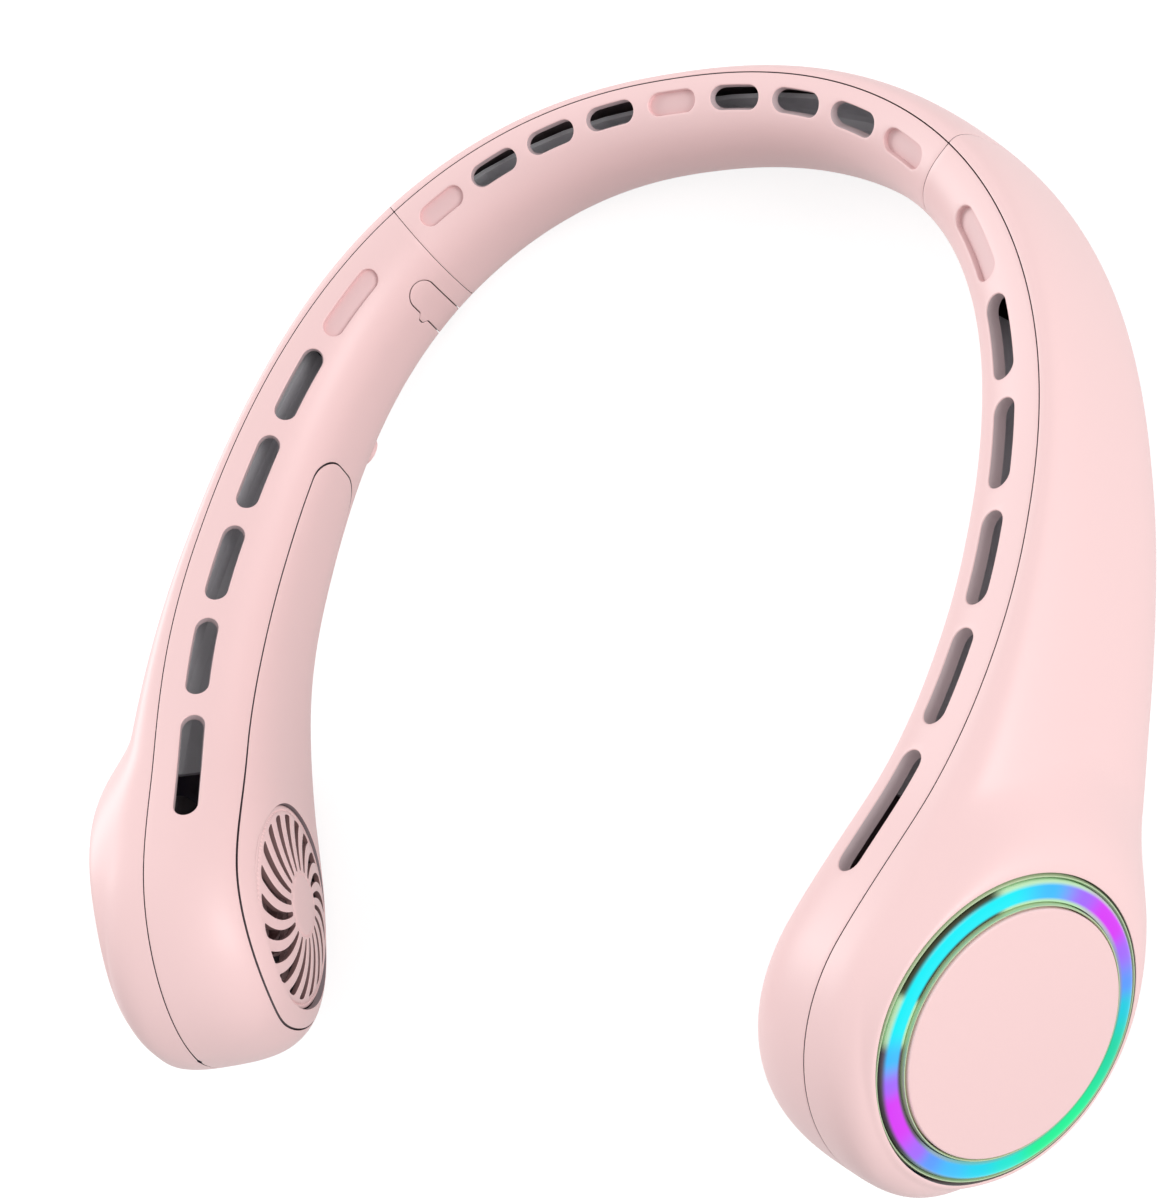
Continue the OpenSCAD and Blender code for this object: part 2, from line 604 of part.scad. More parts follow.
module light_board(side) color([0.2, 0.45, 0.3]) both(side) rest_pose() ring_place() {
    translate([0, 0, -board_deep]) difference() {
        cylinder(r = guide_out, h = board_t - led_t / 2);
        translate([0, 0, -cut]) cylinder(r = cup_r, h = board_t + 2 * cut);
        at_posts() translate([0, 0, -cut]) cylinder(r = screw_r + fit_gap / 2, h = board_t + 2 * cut);
    }
    for (i = [0 : led_n - 1]) rotate([0, 0, 360 * i / led_n])
        translate([guide_mid - led_w / 2, -led_w / 2, -board_deep + board_t - led_t])
        cube([led_w, led_w, led_t]);
}

// The motor plate, with the bearing tube and the posts that carry the light board
plate_t = 1.6;
plate_z = 0.6;
plate_r = end_r - wall - 7 * fit_gap;
tube_t = 0.9;
tube_r = bearing_r + tube_t;
wheel_top = plate_z - move_gap;
wheel_foot = wheel_top - wheel_h;
tube_l = wheel_h * 0.72;
post_r = 1.9;
post_turns = [60, 180, 300];
screw_r = 0.8;
screw_l = 4;
screw_head_r = 1.5;
post_ring = cap_r - 2 * cap_skirt_w - screw_head_r - fit_gap / 2;
screw_head_h = 0.9;
module fan_place(side) both(side) rest_pose() fan_axis() children();
module at_posts() for (a = post_turns) rotate([0, 0, a]) translate([post_ring, 0, 0]) children();
module motor_plate(side) color([0.32, 0.33, 0.35]) both(side) rest_pose() difference() {
    union() {
        fan_axis() translate([0, 0, plate_z]) cylinder(r = plate_r, h = plate_t);
        fan_axis() translate([0, 0, plate_z - tube_l]) cylinder(r = tube_r, h = tube_l + plate_t);
        ring_place() at_posts() translate([0, 0, -ring_out]) cylinder(r = post_r, h = ring_out - board_deep);
    }
    fan_axis() translate([0, 0, -tube_l]) difference() {
        cylinder(r = plate_r, h = tube_l + plate_z);
        translate([0, 0, -cut]) cylinder(r = cup_r, h = tube_l + plate_z + 2 * cut);
    }
    fan_axis() translate([0, 0, plate_z - tube_l - cut])
        cylinder(r = bearing_r + fit_gap / 10, h = tube_l + plate_t + 2 * cut);
    ring_place() at_posts() translate([0, 0, -board_deep - screw_l]) cylinder(r = screw_r, h = screw_l + cut);
}
bearing_zs = [plate_z - tube_l, plate_z + plate_t - bearing_h - fit_gap];
shaft_fit = 0.03;
module shaft_bearings(side) color([0.75, 0.76, 0.78]) fan_place(side) for (z = bearing_zs)
    translate([0, 0, z]) difference() {
        cylinder(r = bearing_r, h = bearing_h);
        translate([0, 0, -cut]) cylinder(r = shaft_r + shaft_fit, h = bearing_h + 2 * cut);
    }
cup_t = 1.2;
cup_h = wheel_h - 1;
magnet_t = 1.3;
cup_in_r = cup_r - cup_t;
stator_gap = 0.5;
stator_r = cup_in_r - magnet_t - stator_gap;
stator_h = 4.4;
stator_z = plate_z - tube_l + fit_gap * 2;
pole_n = 6;
pole_w = 1.7;
module motor_stator(side) color([0.72, 0.45, 0.25]) fan_place(side) translate([0, 0, stator_z])
    linear_extrude(stator_h) difference() {
        union() {
            circle(r = tube_r + tube_t);
            for (i = [0 : pole_n - 1]) rotate(360 * i / pole_n) {
                translate([tube_r, -pole_w / 2]) square([stator_r - tube_r - tube_t / 2, pole_w]);
                intersection() {
                    difference() {
                        circle(r = stator_r);
                        circle(r = stator_r - tube_t);
                    }
                    translate([0, -pole_w]) square([stator_r + cut, pole_w * 2]);
                }
            }
        }
        circle(r = tube_r + fit_gap / 10);
    }
module rotor_magnet(side) color([0.25, 0.25, 0.27]) fan_place(side)
    translate([0, 0, wheel_top - cup_h + cup_t]) difference() {
        cylinder(r = cup_in_r, h = cup_h - 2 * cup_t);
        translate([0, 0, -cut]) cylinder(r = cup_in_r - magnet_t, h = cup_h + 2 * cut);
    }
module rotor_shaft(side) color([0.8, 0.8, 0.82]) fan_place(side)
    translate([0, 0, wheel_top - cup_h + cup_t / 2])
        cylinder(r = shaft_r, h = cup_h + plate_t - cup_t / 2);
base_t = 1;
blade_in_r = 11.5;
blade_lean = 30;
function blade_pt(r, w) = let (a = blade_lean * (r - blade_in_r) / (wheel_r - blade_in_r))
    [r * cos(a) - w * sin(a), r * sin(a) + w * cos(a)];
blade_rs = [for (i = [0 : 3]) blade_in_r + (wheel_r - blade_in_r) * i / 3];
module fan_wheel(side) color([0.9, 0.78, 0.78]) fan_place(side) {
    translate([0, 0, wheel_top - cup_h]) difference() {
        cylinder(r = cup_r, h = cup_h);
        translate([0, 0, cup_t]) cylinder(r = cup_in_r, h = cup_h);
        translate([0, 0, -cut]) cylinder(r = shaft_r, h = cup_h);
    }
    translate([0, 0, wheel_top - base_t]) difference() {
        cylinder(r = wheel_r, h = base_t);
        translate([0, 0, -cut]) cylinder(r = cup_r - cup_t / 2, h = base_t + 2 * cut);
    }
    translate([0, 0, wheel_foot]) difference() {
        cylinder(r = wheel_r, h = base_t);
        translate([0, 0, -cut]) cylinder(r = wheel_r - 3 * base_t, h = base_t + 2 * cut);
    }
    for (i = [0 : blade_n - 1]) rotate([0, 0, 360 * i / blade_n]) translate([0, 0, wheel_foot + base_t / 2])
        linear_extrude(wheel_h - base_t) polygon(concat([for (r = blade_rs) blade_pt(r, -blade_t / 2)],
            [for (j = [3 : -1 : 0]) blade_pt(blade_rs[j] - (j == 3 ? blade_t / 4 : 0), blade_t / 2)]));
}
module board_screws() color([0.6, 0.61, 0.63]) for (side = [-1, 1]) both(side) rest_pose() ring_place()
    at_posts() translate([0, 0, -board_deep]) {
        translate([0, 0, board_t - led_t / 2]) cylinder(r = screw_head_r, h = screw_head_h);
        translate([0, 0, fit_gap - screw_l]) cylinder(r = screw_r, h = screw_l + board_t / 2);
    }

// The air ducts under the slots: open troughs
duct_rim = 7;
duct_d = 6.6;
duct_t = 0.9;
duct_square = 3;
duct_gap = 2.4;
duct_gaps = duct_gap * [1, 1, 1, 1.1, 1.2, 1.2];
duct_cols = 8;
function duct_pt(s, f, inset) =
    let (w = (at_s(in_widths, s) + at_s(out_widths, s)) / 2 - wall - at_s(duct_gaps, s) - inset)
    spot(s, mid_e(s) + w * power(cos(f), 2 / duct_square),
        -duct_rim + (duct_d - inset) * power(sin(f), 2 / duct_square));
module duct(s0, s1, n) loft([for (i = [0 : n]) let (s = s0 + (s1 - s0) * i / n) concat(
    [for (k = [0 : duct_cols]) duct_pt(s, 180 + 180 * k / duct_cols, 0)],
    [for (k = [duct_cols : -1 : 0]) duct_pt(s, 180 + 180 * k / duct_cols, duct_t)])], true);
sleeve_mid = 7.5;
sleeve_arm = 3.6;
sleeve_t = 1;
duct_start = seam_s + arm_slot_start + arm_slot_pitch - arm_slot_l * 0.6;
module mid_air_duct() color([0.3, 0.3, 0.32]) rest_pose()
    duct(-seam_s + sleeve_mid + wall, seam_s - sleeve_mid - wall, 12);
module air_duct(side) color([0.3, 0.3, 0.32]) both(side) rest_pose()
    duct(duct_start, hub_s - plate_r - move_gap, 9);

// The sleeves inside the casings at the seams
sleeve_cols = 16;
function sleeve_pt(s, k, inset) =
    let (f = 360 * k / sleeve_cols + 180 / sleeve_cols + 90, half = at_s(heights, s) / 2,
        w = (at_s(in_widths, s) + at_s(out_widths, s)) / 2)
    spot(s, mid_e(s) + (w - inset) * power(cos(f), 2 / duct_square),
        -half + (half - inset) * power(sin(f), 2 / duct_square));
module sleeve_solid(s0, s1, inset) loft([for (i = [0 : 3]) let (s = s0 + (s1 - s0) * i / 3)
    [for (k = [0 : sleeve_cols - 1]) sleeve_pt(s, k, inset)]], true);
module seam_sleeve(side) color([0.4, 0.4, 0.42]) both(side) rest_pose() difference() {
    sleeve_solid(seam_s - sleeve_mid, seam_s + sleeve_arm, wall + tab_t + 2 * fit_gap);
    sleeve_solid(seam_s - sleeve_mid - cut, seam_s + sleeve_arm + cut, wall + tab_t + 2 * fit_gap + sleeve_t);
}

// Batteries, control board, socket, flap, button and wires
battery_s = throat_s - battery_l * 0.6;
battery_out = 0.4;
battery_top = 15.2;
battery_edge = 2;
module round_box(w, h, r) {
    square([w - 2 * r, h], center = true);
    square([w, h - 2 * r], center = true);
    for (x = [-1, 1]) for (y = [-1, 1]) translate([x * (w / 2 - r), y * (h / 2 - r)]) circle(r = r);
}
module battery(side) color([0.55, 0.6, 0.66]) both(side) rest_pose()
    at_station(battery_s, -battery_out - battery_t / 2, -battery_top - battery_w / 2)
        rotate([90, 0, 90]) linear_extrude(battery_l, center = true)
        round_box(battery_t, battery_w, battery_edge);
module charging_socket() color([0.78, 0.79, 0.8]) both(-1) rest_pose() on_skin(flap_s, socket_a)
    translate([0, 0, -mouth_deep - socket_l]) {
        difference() {
            linear_extrude(socket_l) stadium(socket_w, socket_t);
            translate([0, 0, socket_t / 4]) linear_extrude(socket_l)
                stadium(socket_w - socket_t / 5, socket_t - socket_t / 5);
        }
        translate([-socket_t / 10, -socket_w / 3, 0]) cube([socket_t / 5, socket_w / 1.5, socket_l * 0.8]);
    }
pcb_l = 25;
pcb_h = 14;
pcb_t = 1;
chip_w = 5;
module control_board() color([0.2, 0.45, 0.3]) both(-1) rest_pose() on_skin(flap_s, socket_a)
    translate([-socket_t, -pcb_h * 0.42, -mouth_deep - socket_l - pcb_t]) {
        cube([pcb_l, pcb_h, pcb_t]);
        translate([chip_w * 2, pcb_h / 3, pcb_t / 2]) cube([chip_w, chip_w, pcb_t * 1.4]);
        translate([chip_w * 3.6, pcb_h / 4, pcb_t / 2]) cube([chip_w * 0.7, chip_w, pcb_t * 2]);
    }
module port_flap() color([0.93, 0.79, 0.79]) both(-1) rest_pose() {
    flap_patch(0, 0, flap_t);
    flap_barrel(flap_barrel_r, flap_w);
}
module power_button() color([0.93, 0.79, 0.79]) both(-1) rest_pose() button_place() {
    translate([0, 0, -button_foot]) cylinder(r = button_r + button_flange, h = button_flange);
    translate([0, 0, -button_foot]) cylinder(r = button_r, h = button_foot + run_gap);
}
module button_switch() color([0.2, 0.2, 0.22]) both(-1) rest_pose() button_place() {
    translate([-switch_w / 2, -switch_w / 2, -switch_top - switch_h]) cube([switch_w, switch_w, switch_h]);
    translate([-switch_base / 2, -switch_w / 2, -switch_top - switch_h - switch_base_t])
        cube([switch_base, switch_w, switch_base_t * 1.5]);
}
wire_r = 1;
wire_sides = 6;
wire_steps = 20;
wire_up = 4.9;
wire_out = 2.2;
module wire_harness() color([0.75, 0.25, 0.22]) rest_pose() {
    s0 = -battery_s + battery_l / 2;
    loft([for (i = [0 : wire_steps]) let (s = s0 * (1 - 2 * i / wire_steps),
        e = mid_e(s) + wire_out, h = -at_s(heights, s) + wall + wire_up)
        [for (k = [0 : wire_sides - 1]) let (a = 360 * k / wire_sides)
            spot(s, e + wire_r * cos(a), h + wire_r * sin(a))]], true);
}

mid_outer_shell();
mid_inner_shell();
mid_air_duct();
outer_shell(-1);  // outer_shell_left
outer_shell(1);  // outer_shell_right
inner_shell(-1);  // inner_shell_left
inner_shell(1);  // inner_shell_right
inner_cover(-1);  // inner_cover_left
inner_cover(1);  // inner_cover_right
intake_grille(-1);  // intake_grille_left
intake_grille(1);  // intake_grille_right
ring_trim(-1);  // ring_trim_left
ring_trim(1);  // ring_trim_right
light_ring(-1);  // light_ring_left
light_ring(1);  // light_ring_right
centre_cap(-1);  // centre_cap_left
centre_cap(1);  // centre_cap_right
light_board(-1);  // light_board_left
light_board(1);  // light_board_right
motor_plate(-1);  // motor_plate_left
motor_plate(1);  // motor_plate_right
motor_stator(-1);  // motor_stator_left
motor_stator(1);  // motor_stator_right
shaft_bearings(-1);  // shaft_bearings_left
shaft_bearings(1);  // shaft_bearings_right
fan_wheel(-1);  // fan_wheel_left
fan_wheel(1);  // fan_wheel_right
rotor_magnet(-1);  // rotor_magnet_left
rotor_magnet(1);  // rotor_magnet_right
rotor_shaft(-1);  // rotor_shaft_left
rotor_shaft(1);  // rotor_shaft_right
air_duct(-1);  // air_duct_left
air_duct(1);  // air_duct_right
battery(-1);  // battery_left
battery(1);  // battery_right
seam_sleeve(-1);  // seam_sleeve_left
seam_sleeve(1);  // seam_sleeve_right
control_board();
charging_socket();
port_flap();
power_button();
button_switch();
wire_harness();
board_screws();
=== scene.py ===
"""Neck fan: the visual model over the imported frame, with its materials, light and camera.

The surfaces are worked out in millimetres. A point on one is given by q, its place along the band,
and th, its angle round the section: outside 0, crest 90, neck side 180, underside 270 or -90.
"""
import math

import bmesh
import bpy
import numpy as np
from mathutils import Matrix, Vector
from mathutils.geometry import delaunay_2d_cdt


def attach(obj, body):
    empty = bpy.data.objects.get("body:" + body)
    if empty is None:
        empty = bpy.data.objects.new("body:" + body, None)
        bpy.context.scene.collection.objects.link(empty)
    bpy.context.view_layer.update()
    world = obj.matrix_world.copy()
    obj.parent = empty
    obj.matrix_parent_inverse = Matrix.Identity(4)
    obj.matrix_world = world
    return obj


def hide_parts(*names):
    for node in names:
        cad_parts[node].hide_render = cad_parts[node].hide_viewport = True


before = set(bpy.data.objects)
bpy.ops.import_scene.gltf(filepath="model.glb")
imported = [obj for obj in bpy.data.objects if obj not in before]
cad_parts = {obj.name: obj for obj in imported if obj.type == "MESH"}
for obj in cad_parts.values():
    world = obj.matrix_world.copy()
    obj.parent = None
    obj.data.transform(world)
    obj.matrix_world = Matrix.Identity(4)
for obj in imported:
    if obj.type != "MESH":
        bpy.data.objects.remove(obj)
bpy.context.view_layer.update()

MM = 0.001
TINY = 1e-6

# The horseshoe in plan
CREST_HALF_W = 85.0
BACK_DEPTH = 97.0
BACK_SQUARE = 2.25
TOE_R = 130.0
TOE_A = 21.0

# The band at its stations, from the back of the neck to the fan's axis
STATIONS = np.array([0, 66, 128, 165, 190, 216], float)
HEIGHTS = np.array([24.5, 30, 33.5, 40, 49.5, 56])
IN_W = np.array([12.2, 12.6, 17, 18.2, 18.8, 20.9])
OUT_W = np.array([3.04, 4.18, 3.8, 5.8, 9, 12.2])
RISES = np.array([1.2, 0.6, 0, 0.7, 1.225, 3.5])
LEANS = np.array([14, 17, 17, 17, 17, 17], float)
IN_SQ = np.array([2.25, 2.6, 3, 3.2, 3.3, 2.9])
OUT_SQ = np.array([2.25, 2.6, 3, 3.2, 3.2, 3.6])
OUT_SQ_LOW = np.array([2.25, 2.6, 3, 3.2, 3.0, 2.4])
SLOT_IN = np.array([4.4, 5.7, 7, 7, 7, 7])
COVER_DROPS = np.array([7, 7, 7, 7, 6, 5], float)

# The seam between the sections, the fan's axis and the round end
SEAM_S = STATIONS[1]
HUB_S = STATIONS[-1]
END_R = 27.7
END_SQ = (3.3, 3.4)
TIP_BLEND = 0.6
Q_END = HUB_S + END_R * math.pi / 2
TIP_STOP = 0.02

# How the band's own frame is turned and moved onto the resting plane
REST_TILT = 9.38355
REST_SHIFT = np.array([0, 96.208, 25.8114])

# Walls, gaps and lips
WALL = 2.0
COVER_WALL = 1.2
FLAP_WALL = 1.1
PART_GAP = 0.34
SEAM_GAP = 0.26
LINE = 0.26
LINE_LIP = 0.08
EDGE_LIP = 0.06
SLOT_LIP = 0.2
SEAT_LIP = 0.1
LIP_ANGLES = (30, 60, 90)

# The ring with its seat, and the grille
RING_R = 24.6
RING_GAP = 0.3
RING_OUT = 11.3
RING_BACK = 2.0
RING_PROUD = 1.2
RING_FOOT = -3
FACE_TOE = 5.0
CAP_R = 19.9
CAP_PROUD = 2.0
SEAT_EDGE = RING_R + 0.5
SEAT_W = 2.2
SEAT_DEEP = 6.0
SEAT_POWER = 1.7
SEAT_BLEND = 1.8
SEAT_TOP = 0.35
SEAT_REACH = 8.0
SEAT_SOFT = 2.2
SEAT_SOFT_RUN = 4
SEAT_FADE_TH = 88.0
SEAT_FADE_W = 30.0
GRILLE_R = 19.4
GRILLE_GAP = 0.32
GRILLE_IN = 18.4
GRILLE_TOE = 2.5
GRILLE_LEAN = 0.9
GRILLE_DOME = 2.6
GRILLE_WALL_T = 1.1
GRILLE_HUB_R = 5.9
GRILLE_RIM_R = 18.45
GRILLE_SLOTS = 20

# Steps of the meshes, and the millimetres that a degree of th counts for in them
GRID_Q, GRID_TH = 1.25, 2.6
EDGE_Q, EDGE_TH = 1.3, 3.2
SLOT_STEP, FOOT_STEP, SIDE_TH = 1.2, 1.0, 1.5
HALF_STEP = 0.5
LOOP_CLEAR = 0.45
K_TH = 0.42

# How far the edges and the searched points stay from the tip of the round end
EDGE_STOP, PULL_STOP = 1.0, 0.3
GUESS_SHARE = 0.9


# The surface
def unit(v):
    return v / np.linalg.norm(v, axis=-1, keepdims=True)


def ease(t):
    return t * t * (3 - 2 * t)


def plan_table():
    """The line along the crest of one side in plan, as lengths along it and points.
    The straight run past the toe is as long as its radius, more than the arm needs."""
    a = np.radians(np.linspace(0, 90, 1201))
    across = CREST_HALF_W * np.sin(a) ** (2 / BACK_SQUARE)
    behind = BACK_DEPTH * (np.clip(np.cos(a), 0, 1) ** (2 / BACK_SQUARE) - 1)
    b = np.radians(np.linspace(0, TOE_A, 121)[1:])
    toe = np.stack([CREST_HALF_W - TOE_R * (1 - np.cos(b)), -BACK_DEPTH - TOE_R * np.sin(b)], 1)
    last = toe[-1] - TOE_R * np.array([math.sin(b[-1]), math.cos(b[-1])])
    points = np.vstack([np.stack([across, behind], 1), toe, last])
    steps = np.linalg.norm(np.diff(points, axis=0), axis=1)
    return np.concatenate([[0], np.cumsum(steps)]), points


PLAN_S, PLAN_P = plan_table()


def plan(s):
    s = np.asarray(s, float)
    x = np.sign(s) * np.interp(abs(s), PLAN_S, PLAN_P[:, 0])
    return np.stack([x, np.interp(abs(s), PLAN_S, PLAN_P[:, 1])], -1)


def at_s(values, s0):
    """A smooth curve through the values at the stations."""
    d = np.diff(STATIONS)
    r = np.diff(values) / d
    m = np.concatenate([[0], (r[:-1] * d[1:] + r[1:] * d[:-1]) / (d[:-1] + d[1:]), [0]])
    s = np.minimum(np.abs(s0), HUB_S)
    i = np.clip(np.searchsorted(STATIONS, s, side="right") - 1, 0, len(d) - 1)
    w = d[i]
    t = (s - STATIONS[i]) / w
    first = values[i] * (1 + 2 * t) * (1 - t) ** 2 + m[i] * w * t * (1 - t) ** 2
    return first + values[i + 1] * t * t * (3 - 2 * t) + m[i + 1] * w * t * t * (t - 1)


def axes(s):
    """The section's directions outward and up, with the band's direction taken over a short run."""
    run = 6
    d = unit(plan(s + run) - plan(s - run))
    a = np.radians(at_s(LEANS, s))
    outward = np.stack([-d[..., 1] * np.cos(a), d[..., 0] * np.cos(a), np.sin(a)], -1)
    up = np.stack([d[..., 1] * np.sin(a), -d[..., 0] * np.sin(a), np.cos(a)], -1)
    return outward, up


def rest(p):
    """From the band's own frame to the part's, in which it lies on its undersides."""
    a = math.radians(REST_TILT)
    c, s = math.cos(a), math.sin(a)
    turned = np.stack([p[..., 0], p[..., 1] * c + p[..., 2] * s, p[..., 2] * c - p[..., 1] * s], -1)
    return turned + REST_SHIFT


def turn(v):
    return rest(v) - REST_SHIFT


def spot(s, e, h):
    """The point that lies e outward of the line along the crest and h above it."""
    p = plan(s)
    outward, up = axes(s)
    base = np.stack([p[..., 0], p[..., 1], at_s(RISES, s)], -1)
    return rest(base + np.asarray(e)[..., None] * outward + np.asarray(h)[..., None] * up)


def s_of(q):
    """The length along the band and the angle round the end: q is a plain length up to the hub."""
    q = np.asarray(q, float)
    phi = np.clip((q - HUB_S) / END_R, 0, math.pi / 2)
    return np.where(q > HUB_S, HUB_S + END_R * np.sin(phi), q), phi


def section(q, th, inset=0.0):
    """The skin's offsets outward and up from the line along the crest, where the casings meet."""
    s, phi = s_of(q)
    c = np.cos(phi)
    taper_in, taper_out = (np.maximum(1 - np.sin(phi) ** k, 1e-9) ** (1 / k) for k in END_SQ)
    a = np.radians(th)
    u, v = np.cos(a), np.sin(a)
    n = np.where(u < 0, at_s(IN_SQ, s), np.where(v < 0, at_s(OUT_SQ_LOW, s), at_s(OUT_SQ, s)))
    r = (np.abs(u) ** n + np.abs(v) ** n) ** (-1 / n)
    half = at_s(HEIGHTS, s) / 2
    w_in = (at_s(IN_W, s) - inset) * taper_in
    w_out = (at_s(OUT_W, s) - inset) * taper_out
    tip = np.clip(c / TIP_BLEND, 0, 1)
    low = np.where(v < 0, (w_out - w_in) / 2 * tip * tip * (3 - 2 * tip), 0)
    e = low + np.where(u > 0, w_out - low, w_in + low) * r * u
    return s, e, -half + (half - inset) * c * r * v


def skin(q, th, inset=0.0, shift=0.0):
    s, e, h = section(q, th, inset)
    return spot(s, e + shift, h)


def normals(f, q, th):
    """Outward normals of a surface, from small steps along q and th."""
    dq, dt = 0.08, 0.25
    q0, q1 = q - dq, np.minimum(q + dq, Q_END - TIP_STOP)
    n = np.cross(f(q1, th) - f(q0, th), f(q, th + dt) - f(q, th - dt))
    return unit(-n)


def hub_frame():
    """The middle of the fan, then its directions along the band, down and outward."""
    outward, up = (turn(v) for v in axes(np.array(HUB_S)))
    middle = spot(np.array(HUB_S), np.array(0.0), np.array(-HEIGHTS[-1] / 2))
    return middle, np.cross(outward, up), -up, outward


def tilted_frame(back, out, angle, lean=0.0):
    """A frame moved along the band and outward from the fan's, then turned about its y and x axes."""
    middle, x, y, z = hub_frame()
    a, b = math.radians(angle), math.radians(lean)
    face = x * math.sin(a) + z * math.cos(a)
    side = x * math.cos(a) - z * math.sin(a)
    across = y * math.cos(b) + face * math.sin(b)
    return middle + back * x + out * z, side, across, face * math.cos(b) - y * math.sin(b)


RING = tilted_frame(-RING_BACK, RING_OUT, FACE_TOE)
GRILLE = tilted_frame(0, -GRILLE_IN, 180 - GRILLE_TOE, GRILLE_LEAN)


def outer_skin(q, th, inset=0.0, shift=0.0):
    """The outer casing, with its seat round the ring raised from the skin by a smooth maximum.
    On the arm's side the seat reaches further, and towards the crest it fades out."""
    p = skin(q, th, inset, shift)
    middle, x, y, z = RING
    off = p - middle
    lx, ly, lz = off @ x, off @ y, off @ z
    rho = np.hypot(lx, ly)
    along = np.clip(-lx / np.maximum(rho, TINY), 0, 1) ** 2
    fall = np.maximum(rho - SEAT_EDGE, 0) / (SEAT_W + SEAT_REACH * along)
    seat = SEAT_TOP - SEAT_DEEP * fall ** SEAT_POWER - inset
    blend = SEAT_BLEND + SEAT_SOFT * along * np.clip((rho - SEAT_EDGE) / SEAT_SOFT_RUN, 0, 1)
    k = np.maximum(blend - np.abs(lz - seat), 0) / blend
    raised = np.maximum(lz, seat) + k * k * blend / 4
    fade = ease(np.clip((SEAT_FADE_TH - np.abs(th)) / SEAT_FADE_W, 0, 1))
    return p + ((raised - lz) * fade)[..., None] * z


def inner_face(q, th):
    return skin(q, th, 0.0, -PART_GAP / 2)


def inner_back(q, th):
    return skin(q, th, WALL, -PART_GAP / 2)


def cover_back(q, th):
    return skin(q, th, COVER_WALL, -PART_GAP / 2)


def flap_back(q, th):
    return skin(q, th, FLAP_WALL, -PART_GAP / 2)


def plain_outer_face(q, th):
    return skin(q, th, 0.0, PART_GAP / 2)


def plain_outer_back(q, th):
    return skin(q, th, WALL, PART_GAP / 2)


def outer_face(q, th):
    return outer_skin(q, th, 0.0, PART_GAP / 2)


def outer_back(q, th):
    return outer_skin(q, th, WALL, PART_GAP / 2)


# Outlines on the surface, as loops of (q, th)
def pull(f, fr, x, y, q, th):
    """The q and th of the surface points that lie over (x, y) of a frame, and how far off they are."""
    middle, ax, ay, _ = fr
    q, th = np.array(q, float), np.array(th, float)
    dq, dt, most_q, most_th = 0.05, 0.1, 4, 12
    for _ in range(25):
        p = f(q, th) - middle
        rx, ry = p @ ax - x, p @ ay - y
        pq = (f(q + dq, th) - f(q - dq, th)) / (2 * dq)
        pt = (f(q, th + dt) - f(q, th - dt)) / (2 * dt)
        a, b, c, d = pq @ ax, pt @ ax, pq @ ay, pt @ ay
        det = a * d - b * c
        det = np.where(np.abs(det) < TINY, TINY, det)
        q = q - np.clip((rx * d - ry * b) / det, -most_q, most_q)
        th = th - np.clip((ry * a - rx * c) / det, -most_th, most_th)
        q = np.clip(q, SEAM_S, Q_END - PULL_STOP)
    p = f(q, th) - middle
    return q, th, np.hypot(p @ ax - x, p @ ay - y)


def circle_on(f, fr, r, n, q0, t0):
    """A circle about a frame's axis, drawn on a surface from a first guess of its place."""
    a = np.linspace(0, 2 * math.pi, n, endpoint=False)
    x, y = r * np.cos(a), r * np.sin(a)
    q, th, off = pull(f, fr, x, y, np.full(n, q0) + x * GUESS_SHARE, np.full(n, t0))
    return np.stack([q, th], 1), off


def line(a, b, step):
    n = max(2, int(round(abs(b - a) / step)))
    return np.linspace(a, b, n + 1)


def grid(qs, ths):
    a, c = np.meshgrid(qs, ths)
    return np.stack([a.ravel(), c.ravel()], 1)


def side_at(q, t):
    """The stretch of an outline along several q at one th, or at one q along several th."""
    q, t = np.broadcast_arrays(q, t)
    return np.stack([q, t], 1)


def th_top(s, inward):
    """The angle of the point that lies a given width inside the meeting line."""
    n = at_s(IN_SQ, s)
    u = np.clip(inward / at_s(IN_W, s), 0, 1)
    return 180 - np.degrees(np.arctan2((1 - u ** n) ** (1 / n), u))


def stadium(s0, l, w):
    """The outline of a slot round its middle on the neck side of the crest."""
    half = (l - w) / 2
    a = np.radians(np.arange(-90, 91, 15))
    n = max(2, int(round(2 * half / SLOT_STEP)))
    bow, rise = w / 2 * np.cos(a), w / 2 * np.sin(a)
    back, on = np.linspace(half, -half, n + 1)[1:-1], np.linspace(-half, half, n + 1)[1:-1]
    xs = np.concatenate([half + bow, back, -half - bow, on])
    ys = np.concatenate([rise, np.full(n - 1, w / 2), -rise, np.full(n - 1, -w / 2)])
    s0 = np.full(len(xs), float(s0))
    t0 = th_top(s0, at_s(SLOT_IN, s0))
    rate = np.linalg.norm(skin(s0 + HALF_STEP, t0) - skin(s0 - HALF_STEP, t0), axis=1)
    q = s0 + xs / rate
    middle = th_top(q, at_s(SLOT_IN, q))
    th = middle + ys * 2
    for _ in range(6):
        chord = np.linalg.norm(skin(q, th) - skin(q, middle), axis=1)
        moved = middle + (th - middle) * np.abs(ys) / np.maximum(chord, TINY)
        th = np.where(chord > TINY, moved, th)
    return np.stack([q, th], 1)


def outline_band(q0, q1, t0, t1):
    a, b = line(q0, q1, EDGE_Q), line(t0, t1, EDGE_TH)
    sides = [side_at(a, t0), side_at(q1, b), side_at(a[::-1], t1), side_at(q0, b[::-1])]
    return np.vstack([side[:-1] for side in sides])


def outline_arm(t0, t1):
    """From the seam along one edge to the tip of the round end and back along the other."""
    a = line(SEAM_S + SEAM_GAP / 2, Q_END - EDGE_STOP, EDGE_Q)
    b = line(t1, t0, EDGE_TH)
    tip = np.array([[Q_END - TIP_STOP, (t0 + t1) / 2]])
    return np.vstack([side_at(a, t0), tip, side_at(a[::-1], t1), side_at(a[0], b)[1:-1]])


